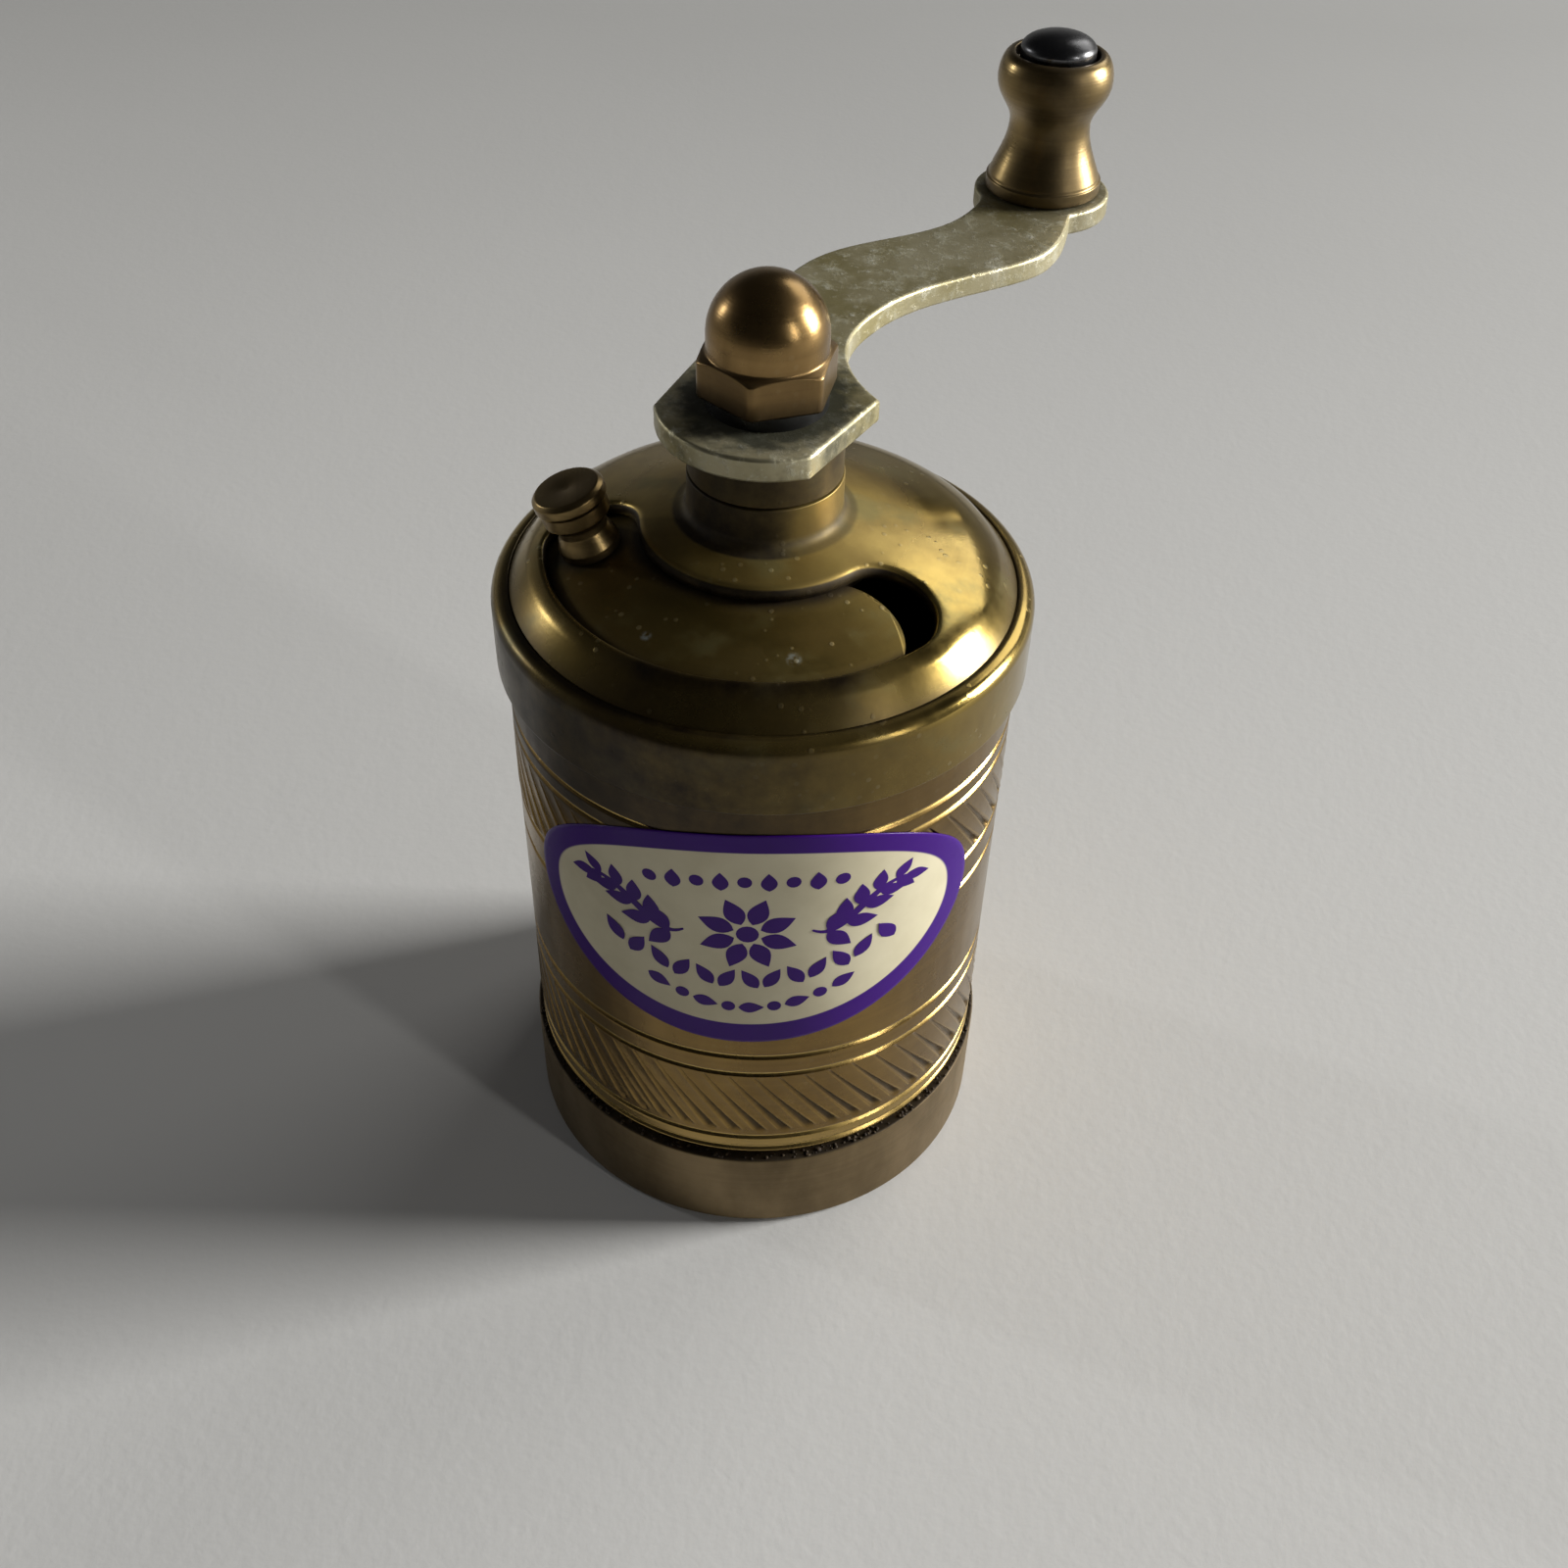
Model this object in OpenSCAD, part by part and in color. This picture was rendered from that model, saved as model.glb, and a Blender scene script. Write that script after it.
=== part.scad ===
// Small brass hand mill: crank, domed lid with a filling slot and shutter, conical burrs
// set by a screw, and a catch cup that pulls off. Millimetres, +Z up.
// The origin is the centre of the cup's underside, and the label faces -Y.

/* [Body tube] */
// Outer diameter of the body tube
body_d = 43.4; // [42:0.1:46]
// Wall of the body tube
body_wall = 1.1; // [0.9:0.05:1.5]
// Length of the body tube
body_len = 48.85; // [47:0.05:60]
// Width of each turned groove
groove_w = 0.7; // [0.4:0.1:0.9]
// Depth of each turned groove
groove_depth = 0.3; // [0.1:0.05:0.5]
// Groove heights above the tube's lower end
lower_grooves = [0.55, 2.2, 11.35, 13.75]; // [0.5:0.05:16]
// Groove depths below the tube's upper end
upper_grooves = [22.2, 18.9, 11, 9.2]; // [8:0.05:24]

/* [Label] */
// Width of the label seen from the front
label_w = 36.2; // [30:0.1:38]
// Distance of the label's top below the tube's upper end
label_drop = 7.95; // [6:0.05:9]
// Thickness of the label
label_sheet = 0.12; // [0.08:0.01:0.2]
// Height of the label's lowest point above the tube's lower end
label_rise = 16.1; // [14.5:0.1:17]
// Turn of the label away from straight ahead, in degrees
label_turn = -2; // [-6:0.5:6]
// Tilt of the label with its right end up, in degrees
label_tilt = 2.5; // [-4:0.5:4]
// Squareness of the label's oval: 2 is an ellipse
label_square = 2.15; // [2:0.05:3]

/* [Catch cup] */
// How far the cup stands proud of the body tube
cup_overhang = 0.5; // [0.3:0.05:0.8]
// Height of the catch cup
cup_h = 9.9; // [9:0.1:14]
// Wall of the catch cup
cup_wall = 1.2; // [0.9:0.1:1.5]
// Floor of the catch cup
cup_floor = 1.2; // [0.8:0.1:2]
// Chamfer round the cup's bottom edge
cup_edge = 0.5; // [0.2:0.1:0.8]
// Open gap between the cup's rim and the body tube
cup_gap = 0.85; // [0.4:0.05:1.5]

/* [Lid] */
// Skirt of the lid below the tube's upper end
lid_skirt = 5.2; // [4:0.1:7]
// Wall of the lid's skirt
lid_wall = 0.74; // [0.6:0.02:1.2]
// Sheet thickness of the dome
lid_sheet = 1; // [0.8:0.05:1.3]
// Distance from the lid's outside to the dome's edge
rim_inset = 1.6; // [1.2:0.1:2.2]
// Height of the lid's rim above the tube's upper end
rim_rise = 1.6; // [1.5:0.1:2.5]
// Width and depth of the crease between rim and dome
rim_crease = 0.3; // [0.1:0.05:0.5]
// Radius of the dome's shoulder
shoulder_r = 7.8; // [7:0.1:9]
// Slope where the shoulder meets the rim, in degrees
shoulder_angle = 59; // [50:1:65]
// Slope of the dome's middle, in degrees
dome_slope = 17; // [12:0.5:22]
// Outer diameter of the neck
neck_d = 12.6; // [12.2:0.1:14]
// Height of the neck above the dome
neck_h = 3.3; // [2:0.1:6]
// Fillet between neck and dome
neck_fillet = 1; // [0.4:0.1:1.6]

/* [Filling slot] */
// Width of the filling slot
slot_w = 7.6; // [6.6:0.1:8.2]
// Distance from the slot to the dome's edge
slot_margin = 3.05; // [2.6:0.05:3.6]
// Bearing of the slot's first end, in degrees
slot_from = 184; // [180:0.5:200]
// Angle between the slot's two ends, in degrees
slot_sweep = 128.5; // [110:0.5:132]

/* [Shutter] */
// Sheet thickness of the shutter plate
shutter_sheet = 1; // [0.8:0.05:1.2]
// Gap between shutter plate and dome
shutter_gap = 0.15; // [0.1:0.05:0.3]
// Overlap of the shutter plate beyond the slot's sides
shutter_lap = 1.1; // [0.6:0.1:1.4]
// Angle from the tab knob back to the plate's first end, in degrees
shutter_lead = 8; // [4:0.5:12]
// Angle between the plate's two ends, in degrees
shutter_sweep = 118; // [100:1:124]
// Angle from the slot's first end to the tab knob, in degrees
tab_turn = 1.5; // [0:0.5:4]
// Diameter of the tab knob's head
tab_head_d = 6; // [5:0.1:7]
// Diameter of the tab knob's waist
tab_waist_d = 4.1; // [3.4:0.1:4.8]
// Diameter of the tab knob's foot
tab_foot_d = 5.1; // [4.4:0.1:5.6]
// Height of the tab knob
tab_h = 5.9; // [5:0.1:8]
// Diameter of the tab knob's rivet tail
tab_tail_d = 2; // [1.6:0.1:2.6]
// Thickness of the shutter's spring washer
spring_washer = 0.5; // [0.3:0.05:0.8]
// Width across flats of the shutter's retaining nut
retainer_af = 14; // [13:0.1:15]
// Height of the shutter's retaining nut
retainer_h = 2.8; // [2:0.1:4]

/* [Spindle] */
// Diameter of the spindle
spindle_d = 8; // [7:0.1:8.4]
// Width across the spindle's square ends
square_w = 5.6; // [4.6:0.1:5.8]
// Wall of the spindle's bushes
bush_wall = 1.25; // [1:0.05:1.4]
// Diameter of the thrust collar
collar_d = 14; // [12:0.1:15]
// Height of the thrust collar
collar_h = 2.6; // [2.2:0.1:4]
// Diameter of the collar's cross pin
pin_d = 1.4; // [1:0.1:1.6]
// Diameter of the spindle's top thread
thread_d = 5; // [4:0.1:5.4]

/* [Crank] */
// Crank length from spindle to grip
crank_len = 48.1; // [44:0.1:60]
// Bearing of the crank at rest, in degrees
crank_bearing = 57.9; // [0:0.1:360]
// Thickness of the crank plate
crank_sheet = 2; // [1.6:0.1:3]
// Diameter of the crank's hub
hub_d = 17.4; // [16.4:0.1:19]
// Distance from the spindle's axis to the hub's flat
hub_flat = 7.1; // [6.6:0.1:8]
// Diameter of the crank's eye
eye_d = 12.6; // [11:0.1:14]
// Diameter of the spacer under the crank
spacer_d = 12.4; // [11:0.1:14]
// Height of the spacer under the crank
spacer_h = 3.8; // [2:0.1:6]

/* [Cap nut] */
// Width across flats of the cap nut
nut_af = 9.8; // [9.6:0.1:12]
// Height of the cap nut's hexagon
nut_hex_h = 3.2; // [3:0.1:5]
// Diameter of the cap nut's dome
nut_dome_d = 9.4; // [8:0.1:9.6]
// Straight height below the cap nut's dome
nut_neck = 1.4; // [0.2:0.1:2]
// Diameter of the lock washer under the cap nut
lock_washer_d = 9.6; // [8:0.1:12]
// Thickness of the lock washer under the cap nut
lock_washer_h = 1.1; // [0.6:0.1:2]
// Bearing of one corner of the cap nut, in degrees
nut_turn = 257; // [0:1:360]

/* [Grip knob] */
// Height of the grip knob
grip_h = 12.3; // [11.5:0.1:18]
// Diameter of the grip's base
grip_base_d = 10.7; // [10:0.1:12]
// Diameter of the grip's waist
grip_waist_d = 7.4; // [6.6:0.1:9]
// Diameter of the grip's head
grip_head_d = 10.4; // [10:0.1:12]
// Height of the band at the grip's base
grip_band = 1.1; // [0.6:0.1:2]
// Diameter of the recess in the grip's top
recess_d = 7.6; // [7:0.1:8.4]
// Depth of the recess in the grip's top
recess_depth = 1.1; // [0.8:0.1:2]
// Diameter of the grip's rivet
rivet_d = 4; // [3:0.1:4.6]
// Diameter of the rivet's head
rivet_head_d = 6.8; // [6:0.1:7]
// Height of the straight edge of the rivet's head
rivet_edge_h = 1.35; // [0.6:0.05:2]
// Height of the dome on the rivet's head
rivet_head_h = 1.3; // [0.8:0.1:2.4]

/* [Burrs] */
// Height of the ring burr
ring_h = 8; // [7:0.1:10]
// Wall of the ring burr at its lower end
ring_wall = 2.5; // [2.2:0.1:3]
// How far the ring burr narrows towards its mouth, on the radius
ring_taper = 1.4; // [1:0.1:2]
// Gap between the burrs at their lower end
burr_gap = 0.8; // [0.7:0.05:1.2]
// Wall of the cone burr round the corners of its square socket, at its top
socket_wall = 2.24; // [2:0.01:2.6]
// Width of the burrs' grooves
tooth_w = 1.2; // [0.8:0.1:1.6]
// Depth of the burrs' grooves
tooth_depth = 0.6; // [0.3:0.05:0.8]
// Number of grooves in the ring burr
ring_teeth = 16; // [10:1:20]
// Number of grooves in the cone burr
cone_teeth = 12; // [8:1:14]
// Slant of the burrs' grooves, in degrees
tooth_slant = 18; // [0:1:24]
// Diameter of the ring burr's dowels
dowel_d = 2; // [1.4:0.1:2.4]
// Length of the ring burr's dowels
dowel_len = 6; // [4:0.1:7]

/* [Burr spring] */
// Wire of the burr spring
wire_d = 0.8; // [0.6:0.05:0.9]
// Number of turns of the burr spring
spring_turns = 4; // [3:0.5:4]
// Free space between burr and collar, filled by the spring
spring_len = 6.2; // [6:0.1:8]

/* [Housing] */
// Wall of the housing's spigot inside the cup
spigot_wall = 1.6; // [1.2:0.1:2]
// Wall of the housing round the ring burr
housing_wall = 7.06; // [6.6:0.02:7.6]
// Ledge that carries the ring burr
ledge = 1.7; // [1.2:0.1:2.5]
// Width of the ledge under the ring burr
ledge_w = 2.1; // [1.6:0.1:2.3]
// Wall of the housing at its upper rim
rim_wall = 1.4; // [1:0.1:2]
// Height of the funnel above the ring burr
funnel_h = 8.8; // [8.4:0.1:12]
// Height of the bearing spider's ring
spider_h = 2.5; // [2:0.1:4]
// Width of the spider's ring
spider_w = 2.2; // [1.6:0.1:3]
// Width of the spider's arms
spider_arm = 4; // [3:0.1:6]
// Diameter of the spider's boss
boss_d = 14.4; // [13.6:0.1:16]
// Number of spider arms
spider_arms = 3; // [3:1:4]
// Height of the spider's bush
spider_bush_h = 5.4; // [4:0.1:8]

/* [Adjuster] */
// Thickness of the bridge that carries the adjusting screw
bridge_sheet = 2.2; // [1.6:0.1:2.6]
// Width of the bridge
bridge_w = 9; // [8:0.1:11]
// Distance of the bridge's screws from the spigot's inside
screw_inset = 3.72; // [3.4:0.02:4]
// Diameter of the bridge's screws
screw_d = 3; // [2:0.1:3.2]
// Length of the bridge's screws in the housing
screw_grip = 5; // [3:0.1:6]
// Diameter of the adjusting screw's stem
stem_d = 6; // [5:0.1:7]
// Diameter of the adjusting screw's head
adjuster_d = 12; // [9:0.1:12.4]
// Height of the adjusting screw's head
adjuster_h = 2.4; // [1.8:0.1:3]
// Travel of the adjusting screw
lift = 1; // [0.5:0.1:1.2]
// Diameter of the thrust ball
ball_d = 3; // [2:0.1:4]

/* [Fits] */
// Running clearance of turning pieces, on the radius
run_fit = 0.05; // [0.02:0.01:0.09]
// Sliding clearance of the cup on its spigot, on the radius
slide_fit = 0.08; // [0.02:0.01:0.1]
// Clearance of the lid's skirt on the tube, on the radius
lid_fit = 0.06; // [0.02:0.01:0.2]
// Gap left between pieces that are fixed together
seat_gap = 0.02; // [0.01:0.01:0.05]
// End float between turning and fixed faces
end_float = 0.15; // [0.1:0.05:0.3]

/* [Hidden] */
$fn = 96;
eps = 0.01;
arc_steps = 10;
side_steps = 24;

// Finishes
brass = "#b5913f";
dark_brass = "#8a6c2c";
satin_brass = "#a08344";
bronze = "#a9793c";
nickel = "#b9b294";
steel = "#8d9195";
dark_steel = "#4a4b4d";
foil = "#4b2a97";

// Tube, cup and spigot
body_r = body_d / 2;
tube_in_r = body_r - body_wall;
body_z = cup_h + cup_gap;
body_top = body_z + body_len;
cup_r = body_r + cup_overhang;
cup_in_r = cup_r - cup_wall;
spigot_r = cup_in_r - slide_fit;
plug_r = tube_in_r - seat_gap;

// Lid and dome: the shoulder is an arc about shoulder_c, and the middle is a cone
lid_in_r = body_r + lid_fit;
lid_r = lid_in_r + lid_wall;
rim_z = body_top + rim_rise;
dome_r = lid_r - rim_inset;
rim_round = rim_inset - rim_crease;
shoulder_c = [
    dome_r - shoulder_r * sin(shoulder_angle), rim_z - shoulder_r * cos(shoulder_angle)
];
function cone_z(r, depth) =
    shoulder_c[1] + (shoulder_r - depth) / cos(dome_slope) + (shoulder_c[0] - r) * tan(dome_slope);
function arc(c, r, a0, a1, n) =
    [for (i = [0:n]) let (a = a0 + (a1 - a0) * i / n) [c[0] + r * cos(a), c[1] + r * sin(a)]];
function shoulder(depth, end) =
    arc(shoulder_c, shoulder_r - depth, 90 - dome_slope, 90 - end, arc_steps);
function bezier(a, b, c, d) = [for (i = [0:arc_steps]) let (t = i / arc_steps)
    pow(1 - t, 3) * a + 3 * t * pow(1 - t, 2) * b + 3 * t * t * (1 - t) * c + pow(t, 3) * d];
function reversed(list) = [for (i = [len(list) - 1:-1:0]) list[i]];

// Bushes, neck and spindle levels
spindle_r = spindle_d / 2;
bush_bore_r = spindle_r + run_fit;
bush_r = bush_bore_r + bush_wall;
neck_r = neck_d / 2;
neck_bore_r = bush_r + seat_gap;
neck_top = cone_z(neck_r, 0) + neck_h;
neck_chamfer = 0.3;

// Slot and shutter: depths are measured square to the dome's outer face
slot_r = dome_r - slot_margin - slot_w / 2;
shutter_top = lid_sheet + shutter_gap;
shutter_under = shutter_top + shutter_sheet;
shutter_edge_angle = 80;
shutter_half = slot_w / 2 + shutter_lap;
shutter_hub_lap = 0.5;
shutter_hub_r = slot_r - shutter_half + shutter_hub_lap;
tab_bearing = slot_from + tab_turn;
shutter_from = tab_bearing - shutter_lead;
retainer_r = retainer_af / 2 / cos(30);
washer_top = shutter_under + seat_gap;
washer_under = washer_top + spring_washer;
washer_proud = 1;
washer_r = retainer_af / 2 + washer_proud;
retainer_top = cone_z(washer_r, washer_under) - seat_gap;
bush_tail = 0.6;
bush_bottom = retainer_top - retainer_h - bush_tail;

// Crank levels
spacer_z = neck_top + end_float;
crank_z = spacer_z + spacer_h;
crank_top = crank_z + crank_sheet;
hub_r = hub_d / 2;
eye_r = eye_d / 2;
eye_pos = crank_len * [cos(crank_bearing), sin(crank_bearing)];
nut_z = crank_top + lock_washer_h;
nut_chamfer_r = nut_af / 2 + 2 * nut_hex_h;
nut_dome_z = nut_z + nut_hex_h + nut_neck;
thread_room = 2.2;
thread_top = nut_dome_z + nut_dome_d / 2 - thread_room;

// Grip levels
grip_z = crank_top + end_float;
recess_z = grip_z + grip_h - recess_depth;
rivet_r = rivet_d / 2;
peen_h = 0.8;
peen_r = 1.6 * rivet_r;
peen_end_r = 1.4 * rivet_r;

// Housing and burr levels, from the tube's lower end upwards
ledge_drop = 0.25;
ledge_z = body_z - ledge_drop;
ring_z = ledge_z + ledge;
ring_top = ring_z + ring_h;
ring_pocket_r = plug_r - housing_wall;
ring_r = ring_pocket_r - seat_gap;
ring_end_r = ring_r - ring_wall;
ring_mouth_r = ring_end_r - ring_taper;
ledge_r = ring_pocket_r - ledge_w;
housing_top = ring_top + funnel_h;
cone_end_r = ring_end_r - burr_gap;
cone_top_r = square_w / sqrt(2) + socket_wall;
cone_inset = 0.2;
cone_z0 = ring_z + cone_inset;
cone_top = ring_top - cone_inset;
socket_floor = 1.5;
socket_room = 0.3;
spindle_end = cone_z0 + socket_floor + lift + socket_room;
square_room = 0.5;
spindle_round_end = cone_top + lift + square_room;
collar_z = cone_top + spring_len;
collar_top = collar_z + collar_h;
spring_end_gap = 0.05;
spring_room = 0.6;
spring_r = spindle_r + spring_room + wire_d / 2;
boss_z = collar_top + end_float;
boss_r = boss_d / 2;
spider_turn = 30;
pin_inset = 0.3;

// Adjuster levels, from the cone burr downwards
bridge_z = ledge_z - bridge_sheet;
bridge_screw_r = spigot_r - spigot_wall - screw_inset;
ball_r = ball_d / 2;
ball_gap = 0.1;
ball_z = cone_z0 - ball_gap - ball_r;
stem_r = stem_d / 2;
seat_wrap = 0.2;
stem_top = ball_z + seat_wrap;
seat_floor = ball_z - ball_r - run_fit;
head_room = 0.4;
head_top = bridge_z - lift - head_room;
adjuster_slot = 1.2;
bridge_gap = 0.3;
screw_r = screw_d / 2;
screw_head_r = 1.8 * screw_r;
screw_head_h = 1.2 * screw_r;
screw_slot = 0.4 * screw_r;
drill_room = 0.5;

// A bent slot about Z with round ends, standing on z0
module kidney(r, half_w, z0, z1, a, sweep)
    translate([0, 0, z0])
        linear_extrude(height = z1 - z0)
            polygon(concat(
                arc([0, 0], r + half_w, a, a + sweep, side_steps),
                arc(r * [cos(a + sweep), sin(a + sweep)], half_w, a + sweep, a + sweep + 180, arc_steps),
                arc([0, 0], r - half_w, a + sweep, a, side_steps),
                arc(r * [cos(a), sin(a)], half_w, a + 180, a + 360, arc_steps)
            ));

// A plain tube standing on z0
module pipe(r_out, r_in, z0, z1)
    translate([0, 0, z0])
        difference() {
            cylinder(r = r_out, h = z1 - z0);
            translate([0, 0, -eps])
                cylinder(r = r_in, h = z1 - z0 + 2 * eps);
        }

// Puts a piece on the shutter, square to the plate at the tab knob's place
module at_tab()
    rotate([0, 0, tab_bearing])
        translate([slot_r, 0, cone_z(slot_r, shutter_top)])
            rotate([0, dome_slope, 0])
                children();

module catch_cup()
    color(satin_brass)
        rotate_extrude()
            polygon([
                [0, 0], [cup_r - cup_edge, 0], [cup_r, cup_edge], [cup_r, cup_h],
                [cup_in_r, cup_h], [cup_in_r, cup_floor], [0, cup_floor]
            ]);

function groove(z) = [
    [body_r, z - groove_w / 2], [body_r - groove_depth, z], [body_r, z + groove_w / 2]
];

module body_tube()
    color(brass)
        rotate_extrude()
            polygon(concat(
                [[tube_in_r, body_z], [body_r, body_z]],
                [for (h = lower_grooves) each groove(body_z + h)],
                [for (h = upper_grooves) each groove(body_top - h)],
                [[body_r, body_top], [tube_in_r, body_top]]
            ));

// The label's oval seen from the front, about its own centre
label_h = body_len - label_rise - label_drop;
label_steps = 48;
function power(x, n) = sign(x) * pow(abs(x), n);
function label_oval() = [for (i = [0:label_steps - 1]) let (a = i * 360 / label_steps)
    [label_w / 2 * power(cos(a), 2 / label_square), label_h / 2 * power(sin(a), 2 / label_square)]];

module label()
    color(foil)
        intersection() {
            pipe(body_r + seat_gap + label_sheet, body_r + seat_gap, body_z, body_top);
            rotate([0, 0, label_turn])
                translate([0, 0, body_z + label_rise + label_h / 2])
                    rotate([90, 0, 0])
                        linear_extrude(height = cup_r)
                            rotate(label_tilt)
                                polygon(label_oval());
        }

module lid()
    color(brass)
        difference() {
            rotate_extrude()
                polygon(concat(
                    [
                        [neck_bore_r, cone_z(neck_bore_r, lid_sheet)], [neck_bore_r, neck_top],
                        [neck_r - neck_chamfer, neck_top], [neck_r, neck_top - neck_chamfer]
                    ],
                    arc([neck_r + neck_fillet, cone_z(neck_r + neck_fillet, -neck_fillet)],
                        neck_fillet, 180, 270 - dome_slope, arc_steps),
                    shoulder(0, shoulder_angle),
                    [[dome_r + rim_crease / 2, rim_z - rim_crease]],
                    arc([lid_r - rim_round, rim_z - rim_round], rim_round, 90, 0, arc_steps),
                    [
                        [lid_r, body_top - lid_skirt], [lid_in_r, body_top - lid_skirt],
                        [lid_in_r, body_top],
                        [shoulder(lid_sheet, shoulder_angle)[arc_steps][0], body_top]
                    ],
                    reversed(shoulder(lid_sheet, shoulder_angle))
                ));
            kidney(slot_r, slot_w / 2, body_top + eps, neck_top, slot_from, slot_sweep);
        }

module neck_bush()
    color(bronze)
        pipe(bush_r, bush_bore_r, bush_bottom, neck_top);

// The dome's form repeated between two depths
module dome_sheet(depth_top, depth_under)
    rotate_extrude()
        polygon(concat(
            [[bush_r, cone_z(bush_r, depth_top)]],
            shoulder(depth_top, shutter_edge_angle),
            reversed(shoulder(depth_under, shutter_edge_angle)),
            [[bush_r, cone_z(bush_r, depth_under)]]
        ));

module shutter_plate()
    color(dark_brass)
        difference() {
            intersection() {
                dome_sheet(shutter_top, shutter_under);
                union() {
                    kidney(slot_r, shutter_half, body_z, neck_top, shutter_from, shutter_sweep);
                    pipe(shutter_hub_r, bush_r + run_fit, body_z, neck_top);
                }
            }
            at_tab()
                cylinder(r = tail_r + seat_gap, h = 4 * shutter_sheet, center = true);
        }

// Turned outline of the tab knob above the plate: foot, waist, barrel and head
tab_foot_r = tab_foot_d / 2;
tab_waist_r = tab_waist_d / 2;
tab_head_r = tab_head_d / 2;
tab_barrel_r = 0.92 * tab_head_r;
tab_crown_r = 0.88 * tab_head_r;
tab_foot_h = 0.12 * tab_h;
tab_waist_h = [0.34 * tab_h, 0.46 * tab_h];
tab_barrel_h = [0.56 * tab_h, 0.76 * tab_h];
tab_head_h = [0.82 * tab_h, 0.94 * tab_h];
tab_outline = [
    [tab_foot_r, 0], [tab_foot_r, tab_foot_h], [tab_waist_r, tab_waist_h[0]],
    [tab_waist_r, tab_waist_h[1]], [tab_barrel_r, tab_barrel_h[0]],
    [tab_barrel_r, tab_barrel_h[1]], [tab_head_r, tab_head_h[0]],
    [tab_head_r, tab_head_h[1]], [tab_crown_r, tab_h], [0, tab_h]
];

// Rivet tail of the tab knob, peened over under the plate
tail_r = tab_tail_d / 2;
tail_peen_r = 1.8 * tail_r;
tail_end_r = 1.6 * tail_r;
tail_peen_z = -shutter_sheet - run_fit;
tail_end_z = tail_peen_z - 0.6 * tail_r;
tail_outline = [
    [0, tail_end_z], [tail_end_r, tail_end_z], [tail_peen_r, tail_peen_z],
    [tail_r, tail_peen_z], [tail_r, 0]
];

module tab_knob()
    color(bronze)
        at_tab()
            rotate_extrude()
                polygon(concat(tail_outline, tab_outline));

module spring_washer_ring()
    color(steel)
        intersection() {
            dome_sheet(washer_top, washer_under);
            pipe(washer_r, bush_r + run_fit, body_z, neck_top);
        }

module retaining_nut()
    color(bronze)
        translate([0, 0, retainer_top - retainer_h])
            difference() {
                cylinder(r = retainer_r, h = retainer_h, $fn = 6);
                translate([0, 0, -eps])
                    cylinder(r = bush_r + seat_gap, h = retainer_h + 2 * eps);
            }

module spindle()
    color(steel)
        difference() {
            union() {
                translate([-square_w / 2, -square_w / 2, spindle_end])
                    cube([square_w, square_w, spindle_round_end - spindle_end + eps]);
                translate([0, 0, spindle_round_end])
                    cylinder(r = spindle_r, h = crank_z - spindle_round_end);
                rotate([0, 0, crank_bearing])
                    translate([-square_w / 2, -square_w / 2, crank_z - eps])
                        cube([square_w, square_w, crank_sheet - end_float + eps]);
                translate([0, 0, crank_z])
                    cylinder(d = thread_d, h = thread_top - crank_z);
            }
            pin_hole();
        }

// The cross hole that collar, spindle and pin share
module pin_hole()
    translate([0, 0, collar_z + collar_h / 2])
        rotate([0, 90, 0])
            cylinder(d = pin_d + 2 * seat_gap, h = 2 * collar_d, center = true);

module thrust_collar()
    color(steel)
        difference() {
            pipe(collar_d / 2, spindle_r + seat_gap, collar_z, collar_top);
            pin_hole();
        }

module collar_pin()
    color(dark_steel)
        translate([0, 0, collar_z + collar_h / 2])
            rotate([0, 90, 0])
                cylinder(d = pin_d, h = collar_d - 2 * pin_inset, center = true);

module crank_spacer()
    color(brass)
        pipe(spacer_d / 2, spindle_r + seat_gap, spacer_z, crank_z);

// Crank outline, hub at the origin and arm along +X: two S-curved edges between hub and eye
hub_corner = [sqrt(hub_r * hub_r - hub_flat * hub_flat), -hub_flat];
hub_left_angle = 127.5;
hub_left = hub_r * [cos(hub_left_angle), sin(hub_left_angle)];
eye_c = [crank_len, 0];
notch_right_angle = 231;
notch_left_angle = 140;
notch_right = eye_c + eye_r * [cos(notch_right_angle), sin(notch_right_angle)];
notch_left = eye_c + eye_r * [cos(notch_left_angle), sin(notch_left_angle)];
hollow = [17, 0.3];
crest = [21, 10.1];
belly_back = 11.7;
belly_side = -6.6;
belly = [crank_len - belly_back, belly_side];
waist_back = 9.1;
waist_side = 3.3;
waist = [crank_len - waist_back, waist_side];
// Reach of each curve from its ends, before and after each point
hub_out = [2.4, 4.9];
hollow_reach = [[-6, 0.2], [8.5, 0]];
belly_reach = [[-5.2, 0], [3.3, 0]];
notch_in = [-2, -0.6];
notch_out = [-1, -0.5];
waist_reach = [[2, 0], [-7.3, 0]];
crest_reach = [[7.5, 0], [-8, 0]];
hub_in = [7.3, 1.35];
crank_outline = concat(
    bezier(hub_corner, hub_corner + hub_out, hollow + hollow_reach[0], hollow),
    bezier(hollow, hollow + hollow_reach[1], belly + belly_reach[0], belly),
    bezier(belly, belly + belly_reach[1], notch_right + notch_in, notch_right),
    [eye_c],
    bezier(notch_left, notch_left + notch_out, waist + waist_reach[0], waist),
    bezier(waist, waist + waist_reach[1], crest + crest_reach[0], crest),
    bezier(crest, crest + crest_reach[1], hub_left + hub_in, hub_left),
    arc([0, 0], hub_r, hub_left_angle, 180 + atan2(hub_flat, hub_corner[0]), 2 * arc_steps)
);

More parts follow.
